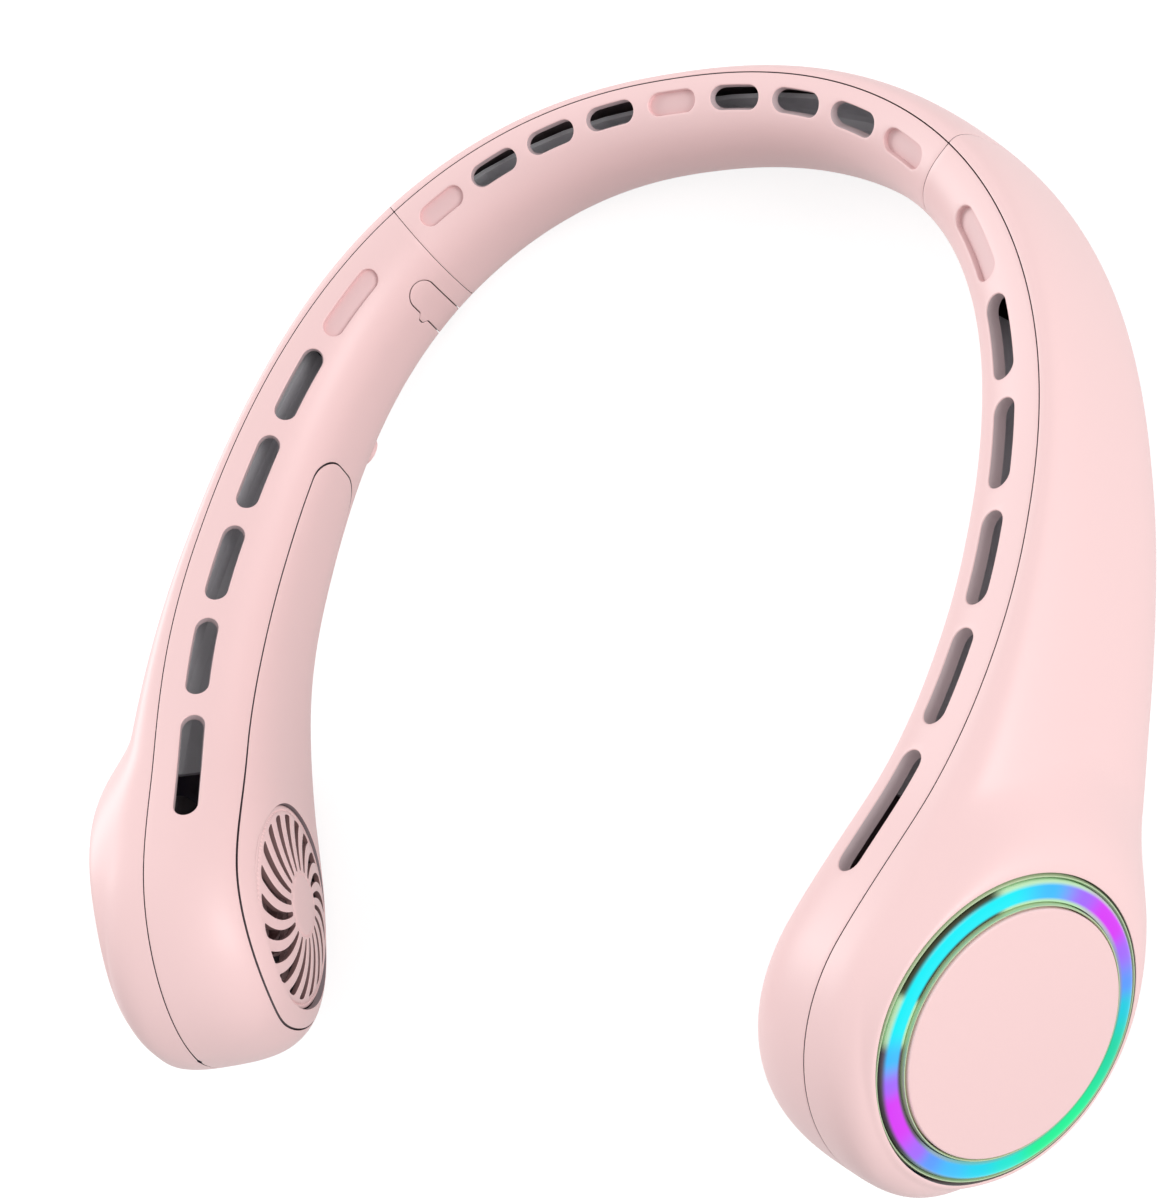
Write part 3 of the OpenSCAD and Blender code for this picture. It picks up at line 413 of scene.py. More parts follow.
def local_frame(f, q, th):
    """A point of a surface with its directions along the band, across it and outward."""
    q, th = np.array([float(q)]), np.array([float(th)])
    p, n = f(q, th)[0], normals(f, q, th)[0]
    x = unit(f(q + HALF_STEP, th)[0] - f(q - HALF_STEP, th)[0])
    x = unit(x - n * (x @ n))
    return p, x, np.cross(n, x), n


# Meshes
def inside(points, loop):
    """Which points lie inside a closed loop."""
    x, y = points[:, 0][:, None], points[:, 1][:, None]
    x0, y0 = loop[:, 0][None], loop[:, 1][None]
    x1, y1 = np.roll(loop[:, 0], -1)[None], np.roll(loop[:, 1], -1)[None]
    spans = (y0 > y) != (y1 > y)
    with np.errstate(divide="ignore", invalid="ignore"):
        cross = x0 + (y - y0) * (x1 - x0) / (y1 - y0)
    return ((spans & (x < cross)).sum(1) % 2) == 1


def near(points, loop, d):
    """Which points lie within d of a loop's points, taken in lots to save memory."""
    out = np.zeros(len(points), bool)
    lot = 2000
    for i in range(0, len(points), lot):
        g = points[i:i + lot, None] - loop[None]
        out[i:i + lot] = (np.hypot(g[..., 0], g[..., 1]) < d).any(1)
    return out


def strip(a, b):
    """Faces between two rings of points."""
    return np.stack([a, b, np.roll(b, -1), np.roll(a, -1)], 1)


class Build:
    """Collects the points and faces of one mesh."""

    def __init__(self):
        self.p, self.f, self.m = [], [], []
        self.n = 0

    def points(self, p):
        self.p.append(np.asarray(p, float))
        self.n += len(p)
        return np.arange(self.n - len(p), self.n)

    def faces(self, f, mat=0):
        self.f += [tuple(int(i) for i in g) for g in f]
        self.m += [mat] * len(f)

    def drop_unused(self):
        used = np.unique(np.concatenate(self.f))
        p = np.vstack(self.p)
        new = np.full(len(p), -1)
        new[used] = np.arange(len(used))
        self.p, self.n = [p[used]], len(used)
        self.f = [tuple(int(new[i]) for i in g) for g in self.f]

    def object(self, name, mats, mirror=False, sharp=38, weld=1e-4):
        p = np.vstack(self.p)
        f = self.f
        if mirror:
            p = p * [-1, 1, 1]
            f = [g[::-1] for g in f]
        me = bpy.data.meshes.new(name)
        me.from_pydata((p * MM).tolist(), [], f)
        for mat in mats:
            me.materials.append(mat)
        me.polygons.foreach_set("material_index", self.m)
        bm = bmesh.new()
        bm.from_mesh(me)
        bmesh.ops.remove_doubles(bm, verts=bm.verts, dist=weld * MM)
        bmesh.ops.dissolve_degenerate(bm, edges=bm.edges, dist=weld * MM)
        bm.to_mesh(me)
        bm.free()
        me.polygons.foreach_set("use_smooth", [True] * len(me.polygons))
        me.set_sharp_from_angle(angle=math.radians(sharp))
        me.update()
        ob = bpy.data.objects.new(name, me)
        bpy.context.scene.collection.objects.link(ob)
        return ob


def free_points(points, loops, holes, clear):
    """The grid's points inside the outline that keep clear of every loop and of the holes."""
    keep = inside(points, loops[0])
    for loop in loops:
        keep &= ~near(points, loop, clear)
    for loop in loops[1:1 + holes]:
        keep &= ~inside(points, loop)
    return points[keep]


def triangles(loops, holes, points):
    """Triangles between the loops: their points and corners, and 0 for skin or a recess's number."""
    edges, at = [], 0
    for loop in loops:
        n = len(loop)
        edges += [(at + i, at + (i + 1) % n) for i in range(n)]
        at += n
    flat = [Vector(p) for p in np.vstack(loops + [points]).tolist()]
    corners, _, faces, *_ = delaunay_2d_cdt(flat, edges, [], 0, 1e-7, True)
    flat = np.array([tuple(v) for v in corners])
    tri = np.array([t for t in faces if len(t) == 3])
    mid = flat[tri].mean(1)
    kind = np.where(inside(mid, loops[0]), 0, -1)
    for loop in loops[1:1 + holes]:
        kind[inside(mid, loop)] = -1
    for i, loop in enumerate(loops[1 + holes:]):
        kind[inside(mid, loop)] = i + 1
    return flat, tri[kind >= 0], kind[kind >= 0]


def rim_chains(tri):
    """The closed chains of corners round the edges of a set of triangles."""
    ends = dict.fromkeys((t[i], t[(i + 1) % 3]) for t in tri for i in range(3))
    after = {a: b for a, b in ends if (b, a) not in ends}
    seen = set()
    for start in after:
        if start in seen:
            continue
        chain = [start]
        seen.add(start)
        while after[chain[-1]] != start and after[chain[-1]] not in seen:
            chain.append(after[chain[-1]])
            seen.add(chain[-1])
        yield np.array(chain)


# Places of a sheet's materials
FRONT, BACK, SLOT_SIDE, RECESS_SIDE = 0, 1, 2, 3


def sheet(outline, holes, blinds, points, f, f_back, lips, walls=None, k=K_TH, clear=LOOP_CLEAR,
          normal=normals):
    """A wall between two surfaces, with round-lipped holes and blind recesses.

    outline, holes and blinds are loops, and each blind goes with its depth. points fill the space
    between them. lips and walls give the loops their lips and the materials of their walls.
    """
    scale = np.array([1, k])
    loops = [loop * scale for loop in [outline] + holes + [loop for loop, _ in blinds]]
    flat, tri, kind = triangles(loops, len(holes), free_points(points * scale, loops, len(holes), clear))
    q, th = (flat / scale).T
    over, out, under = f(q, th), normal(f, q, th), f_back(q, th)
    facing = np.cross(over[tri[:, 1]] - over[tri[:, 0]], over[tri[:, 2]] - over[tri[:, 0]])
    if (facing * out[tri].mean(1)).sum() < 0:
        tri = tri[:, ::-1]
    b = Build()
    top, low = b.points(over), b.points(under)
    b.faces(top[tri[kind == 0]], FRONT)
    loop_of = np.full(len(flat), -1)
    for i, loop in enumerate(loops):
        loop_of[np.abs(flat[:, None, :] - loop[None, :, :]).sum(2).min(1) < 1e-5] = i
    placed = {}
    for c in rim_chains(tri[kind == 0]):
        at = loop_of[c[0]]
        lip = lips[at]
        inward = unit(np.cross(over[np.roll(c, -1)] - over[np.roll(c, 1)], out[c]))
        ring = top[c]
        for a in np.radians(LIP_ANGLES):
            last = ring
            ring = b.points(over[c] + inward * lip * math.sin(a) - out[c] * lip * (1 - math.cos(a)))
            b.faces(strip(last, ring), FRONT)
        if at > len(holes):
            foot = b.points(over[c] + inward * lip - out[c] * blinds[at - 1 - len(holes)][1])
            placed.update({(at, v): w for v, w in zip(c, foot)})
            b.faces(strip(ring, foot), RECESS_SIDE)
        else:
            foot = b.points(under[c] + inward * lip)
            placed.update({(BACK, v): w for v, w in zip(c, foot)})
            b.faces(strip(ring, foot), walls[at] if walls else BACK)
    for i, (_, depth) in enumerate(blinds):
        at = 1 + len(holes) + i
        floor_tri = tri[kind == i + 1]
        middle = [v for v in set(floor_tri.ravel().tolist()) if (at, v) not in placed]
        if middle:
            foot = b.points(over[middle] - out[middle] * depth)
            placed.update({(at, v): w for v, w in zip(middle, foot)})
        b.faces([[placed[(at, v)] for v in g] for g in floor_tri.tolist()], RECESS_SIDE)
    b.faces([[placed.get((BACK, v), low[v]) for v in g[::-1]] for g in tri.tolist()], BACK)
    b.drop_unused()
    return b


def lathe(profiles, n=180):
    """Closed profiles of (radius, height) turned about the axis."""
    b = Build()
    a = np.linspace(0, 2 * math.pi, n, endpoint=False)
    for profile in profiles:
        r, h = np.array(profile, float).T
        ids = [b.points(np.stack([r * math.cos(t), r * math.sin(t), h], 1)) for t in a]
        m = len(profile)
        for i in range(n):
            c, d = ids[i], ids[(i + 1) % n]
            for j in range(m):
                k = (j + 1) % m
                if max(r[j], r[k]) > 1e-9:
                    b.faces([(c[j], d[j], d[k], c[k])])
    return b


def place(ob, fr, mirror):
    """Puts a piece that is drawn about its own axis into a frame, on either side."""
    middle, x, y, z = fr
    if mirror:
        middle, x, y, z = (v * [-1, 1, 1] for v in fr)
        y = -y
    rows = [[x[i], y[i], z[i], middle[i] * MM] for i in range(3)]
    ob.matrix_world = Matrix(rows + [[0, 0, 0, 1]])
    bpy.context.view_layer.update()


def finish_piece(ob, body, node, slot):
    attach(ob, body)
    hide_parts(node)


# Materials, each worked out from plain numbers
def srgb(r, g, b):
    def linear(c):
        c /= 255
        return c / 12.92 if c <= 0.04045 else ((c + 0.055) / 1.055) ** 2.4
    return (linear(r), linear(g), linear(b), 1)


GRAIN = (2600, 0.05, 0.00005)


def material(name, colour, rough=0.5, metal=0.0, spec=0.5, bump=None, **more):
    """A plain material. bump gives a fine grain's scale, strength and distance."""
    m = bpy.data.materials.new(name)
    m.use_nodes = True
    nodes, link = m.node_tree.nodes, m.node_tree.links.new
    shader = nodes["Principled BSDF"]
    shader.inputs["Base Color"].default_value = colour
    shader.inputs["Roughness"].default_value = rough
    shader.inputs["Metallic"].default_value = metal
    shader.inputs["Specular IOR Level"].default_value = spec
    for key, v in more.items():
        shader.inputs[key.replace("_", " ")].default_value = v
    if bump:
        scale, strength, distance = bump
        coords = nodes.new("ShaderNodeTexCoord")
        noise = nodes.new("ShaderNodeTexNoise")
        noise.inputs["Scale"].default_value = scale
        noise.inputs["Detail"].default_value = 2
        grain = nodes.new("ShaderNodeBump")
        grain.inputs["Strength"].default_value = strength
        grain.inputs["Distance"].default_value = distance
        link(coords.outputs["Object"], noise.inputs["Vector"])
        link(noise.outputs["Fac"], grain.inputs["Height"])
        link(grain.outputs["Normal"], shader.inputs["Normal"])
    return m


PINK = material("shell_pink", srgb(250, 214, 213), 0.42, spec=0.4, bump=GRAIN)
CAP = material("cap_pink", srgb(247, 211, 210), 0.46, spec=0.4, bump=GRAIN)
# Painted shade: the casings' inner faces get a dark grey that stands in for the shade inside them.
INSIDE = material("casing_inside", srgb(120, 108, 112))
# Painted shade: the slot walls are the shell's pink greyed for the shade on them.
SLOT_WALL = material("slot_wall", srgb(206, 186, 188))
# Painted shade: the blind recesses' walls and floors are a darker pink for the shade in them.
RECESS = material("recess_pink", srgb(234, 198, 198))
DUCT = material("duct_grey", srgb(232, 230, 234), 0.35, spec=0.6)
# Painted shade: the grille's slot walls and back are a deep brownish pink for the shade behind it.
GRILLE_WALL = material("grille_wall", srgb(128, 98, 97))
WHEEL = material("wheel_pink", srgb(214, 180, 180))
FLAP = material("flap_pink", srgb(248, 212, 211), bump=GRAIN)
# Painted glow: the clear rims' green stands in for the lit ring's light showing in them.
CLEAR = material("clear_trim", srgb(180, 204, 156), 0.08, spec=0.7, Coat_Weight=0.8, Coat_Roughness=0.04)
DARK = material("dark_plastic", srgb(150, 146, 150), 0.3, spec=0.6)
BOARD = material("board_green", srgb(40, 96, 62), 0.35)
COPPER = material("stator_copper", srgb(196, 120, 70), 0.35, metal=0.9)
STEEL = material("steel", srgb(196, 198, 202), 0.25, metal=1.0)
MAGNET = material("magnet", srgb(60, 60, 64), 0.45, metal=0.4)
WRAP = material("battery_wrap", srgb(120, 136, 160), 0.35)
BLACK = material("switch_black", srgb(26, 26, 28))
WIRE = material("wire", srgb(176, 52, 44))
# The casings' skin, then painted shade on their insides, on the slot walls and in the blind recesses.
CASING_LOOKS = [PINK, INSIDE, SLOT_WALL, RECESS]

# The lit ring: its light, and the reflections painted on its lens beside it, go round by shares of a
# turn
GLOW_IN, GLOW_OUT = CAP_R + 0.75, RING_R - 0.72
GLOW_MID, GLOW_HALF = (GLOW_IN + GLOW_OUT) / 2, (GLOW_OUT - GLOW_IN) / 2
LIT_FULL, LIT_NONE = 0.5, 0.92
CYAN, SKY, BLUE = (0, 240, 250), (60, 190, 255), (90, 155, 255)
VIOLET, MAGENTA, GREEN = (165, 105, 255), (218, 55, 248), (0, 240, 150)
TEAL, SEA, LAGOON, TURQUOISE = (0, 215, 240), (0, 230, 210), (0, 215, 165), (0, 205, 225)
GLOW_STOPS = [
    (0.0, BLUE), (0.033, SKY), (0.076, TEAL), (0.115, SEA), (0.16, GREEN), (0.21, GREEN),
    (0.3, LAGOON), (0.35, TURQUOISE), (0.378, BLUE), (0.421, VIOLET), (0.453, MAGENTA),
    (0.485, MAGENTA), (0.521, VIOLET), (0.572, SKY), (0.63, CYAN), (0.812, CYAN), (0.846, SKY),
    (0.876, VIOLET), (0.9, MAGENTA), (0.935, MAGENTA), (0.975, VIOLET), (1.0, BLUE)]
# Painted reflections on the lens beside the light: pale highlights, dark olive and slate patches.
PALE, OLIVE, SLATE, STONE = (196, 236, 192), (66, 70, 52), (96, 86, 100), (150, 175, 190)
LENS_REFLECTION_STOPS = [
    (0.0, STONE), (0.06, (110, 190, 190)), (0.3, (60, 170, 130)), (0.4, (150, 150, 200)),
    (0.5, (200, 200, 210)), (0.53, PALE), (0.63, PALE), (0.65, OLIVE), (0.775, OLIVE),
    (0.785, PALE), (0.825, PALE), (0.84, SLATE), (0.95, SLATE), (1.0, STONE)]


def glow_material():
    """The lit ring: light along the middle of the lens, and painted reflections on the lens beside it.
    """
    m = bpy.data.materials.new("lit_ring")
    m.use_nodes = True
    nodes, link = m.node_tree.nodes, m.node_tree.links.new
    shader = nodes["Principled BSDF"]

    def sum_of(operation, *values):
        node = nodes.new("ShaderNodeMath")
        node.operation = operation
        for i, v in enumerate(values):
            if hasattr(v, "links"):
                link(v, node.inputs[i])
            else:
                node.inputs[i].default_value = v
        return node.outputs[0]

    def ramp(stops, share):
        node = nodes.new("ShaderNodeValToRGB")
        node.color_ramp.interpolation = "EASE"
        link(share, node.inputs["Fac"])
        marks = node.color_ramp.elements
        marks[0].position, marks[0].color = stops[0][0], srgb(*stops[0][1])
        marks[1].position, marks[1].color = stops[-1][0], srgb(*stops[-1][1])
        for at, colour in stops[1:-1]:
            marks.new(at).color = srgb(*colour)
        return node.outputs["Color"]

    coords = nodes.new("ShaderNodeTexCoord")
    parts = nodes.new("ShaderNodeSeparateXYZ")
    link(coords.outputs["Object"], parts.inputs[0])
    x, y = parts.outputs[0], parts.outputs[1]
    turns = sum_of("DIVIDE", sum_of("ARCTAN2", y, x), 2 * math.pi)
    share = sum_of("FRACT", sum_of("ADD", turns, 1.0))
    radius = sum_of("SQRT", sum_of("ADD", sum_of("MULTIPLY", x, x), sum_of("MULTIPLY", y, y)))
    off = sum_of("ABSOLUTE", sum_of("SUBTRACT", radius, GLOW_MID * MM))
    lit = nodes.new("ShaderNodeMapRange")
    lit.interpolation_type = "SMOOTHSTEP"
    lit.inputs["From Min"].default_value = LIT_FULL
    lit.inputs["From Max"].default_value = LIT_NONE
    lit.inputs["To Min"].default_value = 1.0
    lit.inputs["To Max"].default_value = 0.0
    link(sum_of("DIVIDE", off, GLOW_HALF * MM), lit.inputs["Value"])
    # Black under the light, and the painted reflections beside it.
    lens_reflection = nodes.new("ShaderNodeMix")
    lens_reflection.data_type = "RGBA"
    link(lit.outputs[0], lens_reflection.inputs["Factor"])
    link(ramp(LENS_REFLECTION_STOPS, share), lens_reflection.inputs["A"])
    lens_reflection.inputs["B"].default_value = (0, 0, 0, 1)
    link(lens_reflection.outputs["Result"], shader.inputs["Base Color"])
    link(ramp(GLOW_STOPS, share), shader.inputs["Emission Color"])
    link(lit.outputs[0], shader.inputs["Emission Strength"])
    shader.inputs["Roughness"].default_value = 0.25
    shader.inputs["Specular IOR Level"].default_value = 0.2
    return m


GLOW = glow_material()

# The casings of the middle section, with every fourth slot a blind recess
SLOT_W = 4.6
BLIND_DEEP = 1.1
OPEN_MORE, BLIND_MORE = 0.5, 0.3
MID_PITCH, MID_SLOT_L, MID_SLOTS_EACH_SIDE, BLIND_EVERY = 14.3, 10.5, 4, 4
TH_IN, TH_OUT = line(90, 270, GRID_TH), line(-90, 90, GRID_TH)


def slot_loops(slots):
    """Loops of the open slots, and of the blind ones with their depth. slots are (s, length, blind)."""
    opened = [stadium(s, l + OPEN_MORE, SLOT_W + OPEN_MORE) for s, l, blind in slots if not blind]
    blinds = [stadium(s, l + BLIND_MORE, SLOT_W + BLIND_MORE) for s, l, blind in slots if blind]
    return opened, [(loop, BLIND_DEEP) for loop in blinds]


def middle_casings():
    end = SEAM_S - SEAM_GAP / 2
    places = range(-MID_SLOTS_EACH_SIDE, MID_SLOTS_EACH_SIDE + 1)
    opened, blinds = slot_loops([(i * MID_PITCH, MID_SLOT_L, i % BLIND_EVERY == 0) for i in places])
    lips = [EDGE_LIP] + [SLOT_LIP] * (len(opened) + len(blinds))
    walls = [BACK] + [SLOT_SIDE] * len(opened)
    along = line(-end, end, GRID_Q)
    b = sheet(outline_band(-end, end, 90, 270), opened, blinds, grid(along, TH_IN),
              inner_face, inner_back, lips, walls)
    ob = b.object("mid_casing_inner", CASING_LOOKS)
    finish_piece(ob, "casing", "mid_inner_shell", "shell_pink")
    b = sheet(outline_band(-end, end, -90, 90), [], [], grid(along, TH_OUT),
              plain_outer_face, plain_outer_back, [EDGE_LIP])
    ob = b.object("mid_casing_outer", [PINK, INSIDE])
    finish_piece(ob, "casing", "mid_outer_shell", "shell_pink")


middle_casings()

# The arm's cover
COVER_END = HUB_S + END_R - 4.6
COVER_L = 121.0
COVER_CORNER = 7.0


def cover_outline(grow):
    """The cover's edge: straight along the arm, rounded corners at the near end, an oval far end."""
    def half_at(s):
        return at_s(HEIGHTS, s) / 2 - at_s(COVER_DROPS, s) + grow

    start, end, r = COVER_END - COVER_L - grow, COVER_END + grow, COVER_CORNER
    a = np.radians(np.arange(0, 91, 9))
    b = np.radians(np.linspace(0, 90, 30))
    s1 = start + r * (1 - np.cos(a))
    s2 = line(start + r, HUB_S, EDGE_Q)[1:-1]
    s3 = HUB_S + (end - HUB_S) * np.sin(b)
    y1 = half_at(s1) - r + r * np.sin(a)
    y2 = half_at(s2)
    y3 = half_at(s3) * np.cos(b)
    n0 = max(2, int(half_at(start) * 2 / EDGE_Q))
    y0 = np.linspace(-1, 1, n0 + 1)[1:-1] * y1[0]
    s = np.concatenate([np.full(len(y0), start), s1, s2, s3, s3[::-1][1:], s2[::-1], s1[::-1]])
    y = np.concatenate([y0, y1, y2, y3, -y3[::-1][1:], -y2[::-1], -y1[::-1]])
    phi = np.arcsin(np.clip((s - HUB_S) / END_R, 0, 1))
    v = y / (at_s(HEIGHTS, s) / 2 * np.cos(phi))
    n = at_s(IN_SQ, s)
    u = (1 - np.clip(np.abs(v), 0, 1) ** n) ** (1 / n)
    q = np.where(s > HUB_S, HUB_S + END_R * phi, s)
    return np.stack([q, 180 - np.degrees(np.arctan2(v, u))], 1)


# The port's flap, its opening and its hinge
FLAP_S = SEAM_S + 7.9
FLAP_W = 6.9
FLAP_TOP = 146.6
FLAP_FOOT = 232.2
HOLE_FOOT = 243.0
RATE_TH = 160
FLAP_GRID_Q = (FLAP_S - 4, FLAP_S + 5.5, 0.8)
FLAP_GRID_TH = (142, 236, 2.0)
THUMB_TH, THUMB_HALF, THUMB_DEEP = 179.0, 6.0, 1.3
HINGE_TH, HINGE_DEEP = 234.2, 0.78
BARREL_R, BARREL_L, BARREL_POINTS = 0.68, 6.2, 32


def flap_outline(grow, foot_th):
    """The flap's edge: round at the top, straight down the neck side with a thumb notch."""
    r = FLAP_W / 2 + grow
    a = np.radians(np.arange(-90, 91, 9))
    s = np.array(FLAP_S)
    above, below = np.array(RATE_TH - HALF_STEP), np.array(RATE_TH + HALF_STEP)
    rate = np.linalg.norm(skin(s, below) - skin(s, above))
    top_q = FLAP_S + r * np.sin(a)
    top_th = FLAP_TOP - grow / rate + r / rate * (1 - np.cos(a))
    side = line(top_th[-1], foot_th, SIDE_TH)[1:]
    notch = THUMB_DEEP * np.exp(-((side - THUMB_TH) / THUMB_HALF) ** 4)
    foot = line(FLAP_S + r, FLAP_S - r, FOOT_STEP)[1:-1]
    q = np.concatenate([top_q, FLAP_S + r + notch, foot, np.full(len(side), FLAP_S - r)])
    th = np.concatenate([top_th, side, np.full(len(foot), side[-1]), side[::-1]])
    return np.stack([q, th], 1)


def flap_mesh():
    """The flap with a barrel along its hinge line."""
    edge = flap_outline(-LINE / 2 - LINE_LIP, FLAP_FOOT)
    points = grid(line(*FLAP_GRID_Q), line(*FLAP_GRID_TH))
    b = sheet(edge, [], [], points, inner_face, flap_back, [LINE_LIP])
    p, x, y, n = local_frame(inner_face, FLAP_S, HINGE_TH)
    a = np.linspace(0, 2 * math.pi, BARREL_POINTS, endpoint=False)[:, None]
    rim = p - n * HINGE_DEEP + BARREL_R * (np.cos(a) * y + np.sin(a) * n)
    near_end, far_end = b.points(rim - x * BARREL_L / 2), b.points(rim + x * BARREL_L / 2)
    b.faces(np.stack([near_end, np.roll(near_end, -1), np.roll(far_end, -1), far_end], 1))
    b.faces([near_end[::-1], far_end])
    return b


# The inner casings of the arms: slots, the cover's place, and on the left the flap's and the button's
ARM_PITCH, ARM_SLOT_L, ARM_SLOTS, ARM_SLOT_FROM_SEAM = 21.3, 16.2, 5, 20.3
HUB_SLOT_L, HUB_SLOT_BACK = 21.5, 20.3
BUTTON_S, BUTTON_TH = SEAM_S + 42.0, 238.0
BUTTON_R, BUTTON_GAP, BUTTON_POINTS = 3.2, 0.3, 36
ARM_GRID = grid(line(SEAM_S, Q_END, GRID_Q), TH_IN)


def inner_casings():
    starts = [SEAM_S + ARM_SLOT_FROM_SEAM + i * ARM_PITCH for i in range(ARM_SLOTS)]
    slots = [(s, ARM_SLOT_L, s == starts[0]) for s in starts]
    opened, blinds = slot_loops(slots + [(HUB_S - HUB_SLOT_BACK, HUB_SLOT_L, False)])
    cover_place = cover_outline(LINE / 2 + LINE_LIP)
    flap_place = flap_outline(LINE / 2 + LINE_LIP, HOLE_FOOT)
    button = local_frame(inner_face, BUTTON_S, BUTTON_TH)
    r = BUTTON_R + BUTTON_GAP
    button_place, _ = circle_on(inner_face, button, r, BUTTON_POINTS, BUTTON_S, BUTTON_TH)
    for side, more in (("left", [flap_place, button_place]), ("right", [])):
        plain = 1 + len(more)
        lips = [EDGE_LIP] + [SLOT_LIP] * len(opened) + [EDGE_LIP] * plain + [SLOT_LIP] * len(blinds)
        walls = [BACK] + [SLOT_SIDE] * len(opened) + [BACK] * plain
        b = sheet(outline_arm(90, 270), opened + [cover_place] + more, blinds, ARM_GRID,
                  inner_face, inner_back, lips, walls)
        ob = b.object("arm_casing_inner_" + side, CASING_LOOKS, side == "left")
        finish_piece(ob, "casing", "inner_shell_" + side, "shell_pink")


inner_casings()

# The outer casing, with rings of points round the ring's seat
SEAT_STEPS = (0.25, 0.5, 0.75, 1.0, 1.25, 1.5, 1.8, 2.1, 2.5, 3.0, 3.6, 4.3)
SEAT_RING_TH, SEAT_RING_END, SEAT_RING_OFF = 86, 2, 0.01
SEAT_CLEAR_R, SEAT_CLEAR, SEAT_LOOP_CLEAR = 5.2, 0.9, 0.2
RING_POINTS, GRILLE_POINTS = 200, 120


def ring_circle(more):
    return circle_on(plain_outer_face, RING, RING_R + RING_GAP + more, RING_POINTS, HUB_S, 0.0)


def outer_casing_mesh():
    seat = []
    for step in SEAT_STEPS:
        loop, off = ring_circle(step)
        on = (off < SEAT_RING_OFF) & (np.abs(loop[:, 1]) < SEAT_RING_TH)
        seat.append(loop[on & (loop[:, 0] < Q_END - SEAT_RING_END)])
    seat = np.vstack(seat)
    far = grid(line(SEAM_S, Q_END, GRID_Q), TH_OUT)
    p = plain_outer_face(far[:, 0], far[:, 1]) - RING[0]
    rho = np.hypot(p @ RING[1], p @ RING[2])
    beside = near(far * [1, K_TH], seat * [1, K_TH], SEAT_CLEAR)
    far = far[(rho > RING_R + SEAT_CLEAR_R) | ((rho > RING_R) & ~beside)]
    return sheet(outline_arm(-90, 90), [ring_circle(0)[0]], [], np.vstack([far, seat]),
                 outer_face, outer_back, [EDGE_LIP, SEAT_LIP], clear=SEAT_LOOP_CLEAR)


def cover_mesh():
    hole, _ = circle_on(inner_face, GRILLE, GRILLE_R + GRILLE_GAP, GRILLE_POINTS, HUB_S, 180.0)
    return sheet(cover_outline(-LINE / 2 - LINE_LIP), [hole], [], ARM_GRID,
                 inner_face, cover_back, [EDGE_LIP, LINE_LIP])


cover = cover_mesh()
outer_casing = outer_casing_mesh()
for side in ("left", "right"):
    mirror = side == "left"
    ob = cover.object("cover_" + side, [PINK, INSIDE], mirror)
    finish_piece(ob, "casing", "inner_cover_" + side, "shell_pink")
    ob = outer_casing.object("arm_casing_outer_" + side, [PINK, INSIDE], mirror)
    finish_piece(ob, "casing", "outer_shell_" + side, "shell_pink")
finish_piece(flap_mesh().object("flap", [FLAP, FLAP], True), "flap", "port_flap", "flap_pink")

# The cap, the lit ring and its clear rims, turned about the ring's axis
CAP_UNDER = 0.4
CAP_SLEEVE_IN, CAP_SLEEVE_OUT = 17.5, 18.7
CAP_EDGE_R = 0.35
LENS_LOW, LENS_RISE = 0.2, 0.4
RIM_FLAT = 0.08
RIM_OUTER = (RING_R - 0.6, RING_R, 0.05, 0.45)
RIM_INNER = (CAP_R + 0.14, CAP_R + 0.6, 1.15, 1.6)


def cap_profile():
    """A flat cap with a rounded edge and a sleeve under it."""
    r, h = CAP_R - CAP_EDGE_R, CAP_PROUD - CAP_EDGE_R
    edge = [(r + CAP_EDGE_R * math.cos(a), h + CAP_EDGE_R * math.sin(a))
            for a in np.radians(np.linspace(0, 90, 7))]
    under = [(0, CAP_UNDER), (CAP_SLEEVE_IN, CAP_UNDER), (CAP_SLEEVE_IN, RING_FOOT),
             (CAP_SLEEVE_OUT, RING_FOOT), (CAP_SLEEVE_OUT, CAP_UNDER), (CAP_R, CAP_UNDER)]
    return under + edge + [(0, CAP_PROUD)]


def lens_profile():
    """A bowed lens whose edge lies low outside and high beside the cap."""
    profile = [(GLOW_IN, RING_FOOT), (GLOW_OUT, RING_FOOT)]
    for a in np.radians(np.linspace(0, 180, 25)):
        base = LENS_LOW + LENS_RISE * (1 - math.cos(a))
        profile.append((GLOW_MID + GLOW_HALF * math.cos(a), base + (RING_PROUD - base) * math.sin(a)))
    return profile


def rim_profile(r0, r1, base, crest):
    """A narrow clear rim with a crest along its middle."""
    middle = (r0 + r1) / 2
    return [(r0, RING_FOOT), (r1, RING_FOOT), (r1, base), (middle + RIM_FLAT, crest),
            (middle - RIM_FLAT, crest), (r0, base)]


ROUND_PIECES = (
    ("cap_", "centre_cap_", [cap_profile()], CAP, "shell_pink"),
    ("glow_", "light_ring_", [lens_profile()], GLOW, "lit_ring"),
    ("trim_", "ring_trim_", [rim_profile(*RIM_OUTER), rim_profile(*RIM_INNER)], CLEAR, "clear_trim"))
for side in ("left", "right"):
    for name, node, profiles, look, slot in ROUND_PIECES:
        ob = lathe(profiles).object(name + side, [look], sharp=32)
        place(ob, RING, side == "left")
        finish_piece(ob, "casing", node + side, slot)

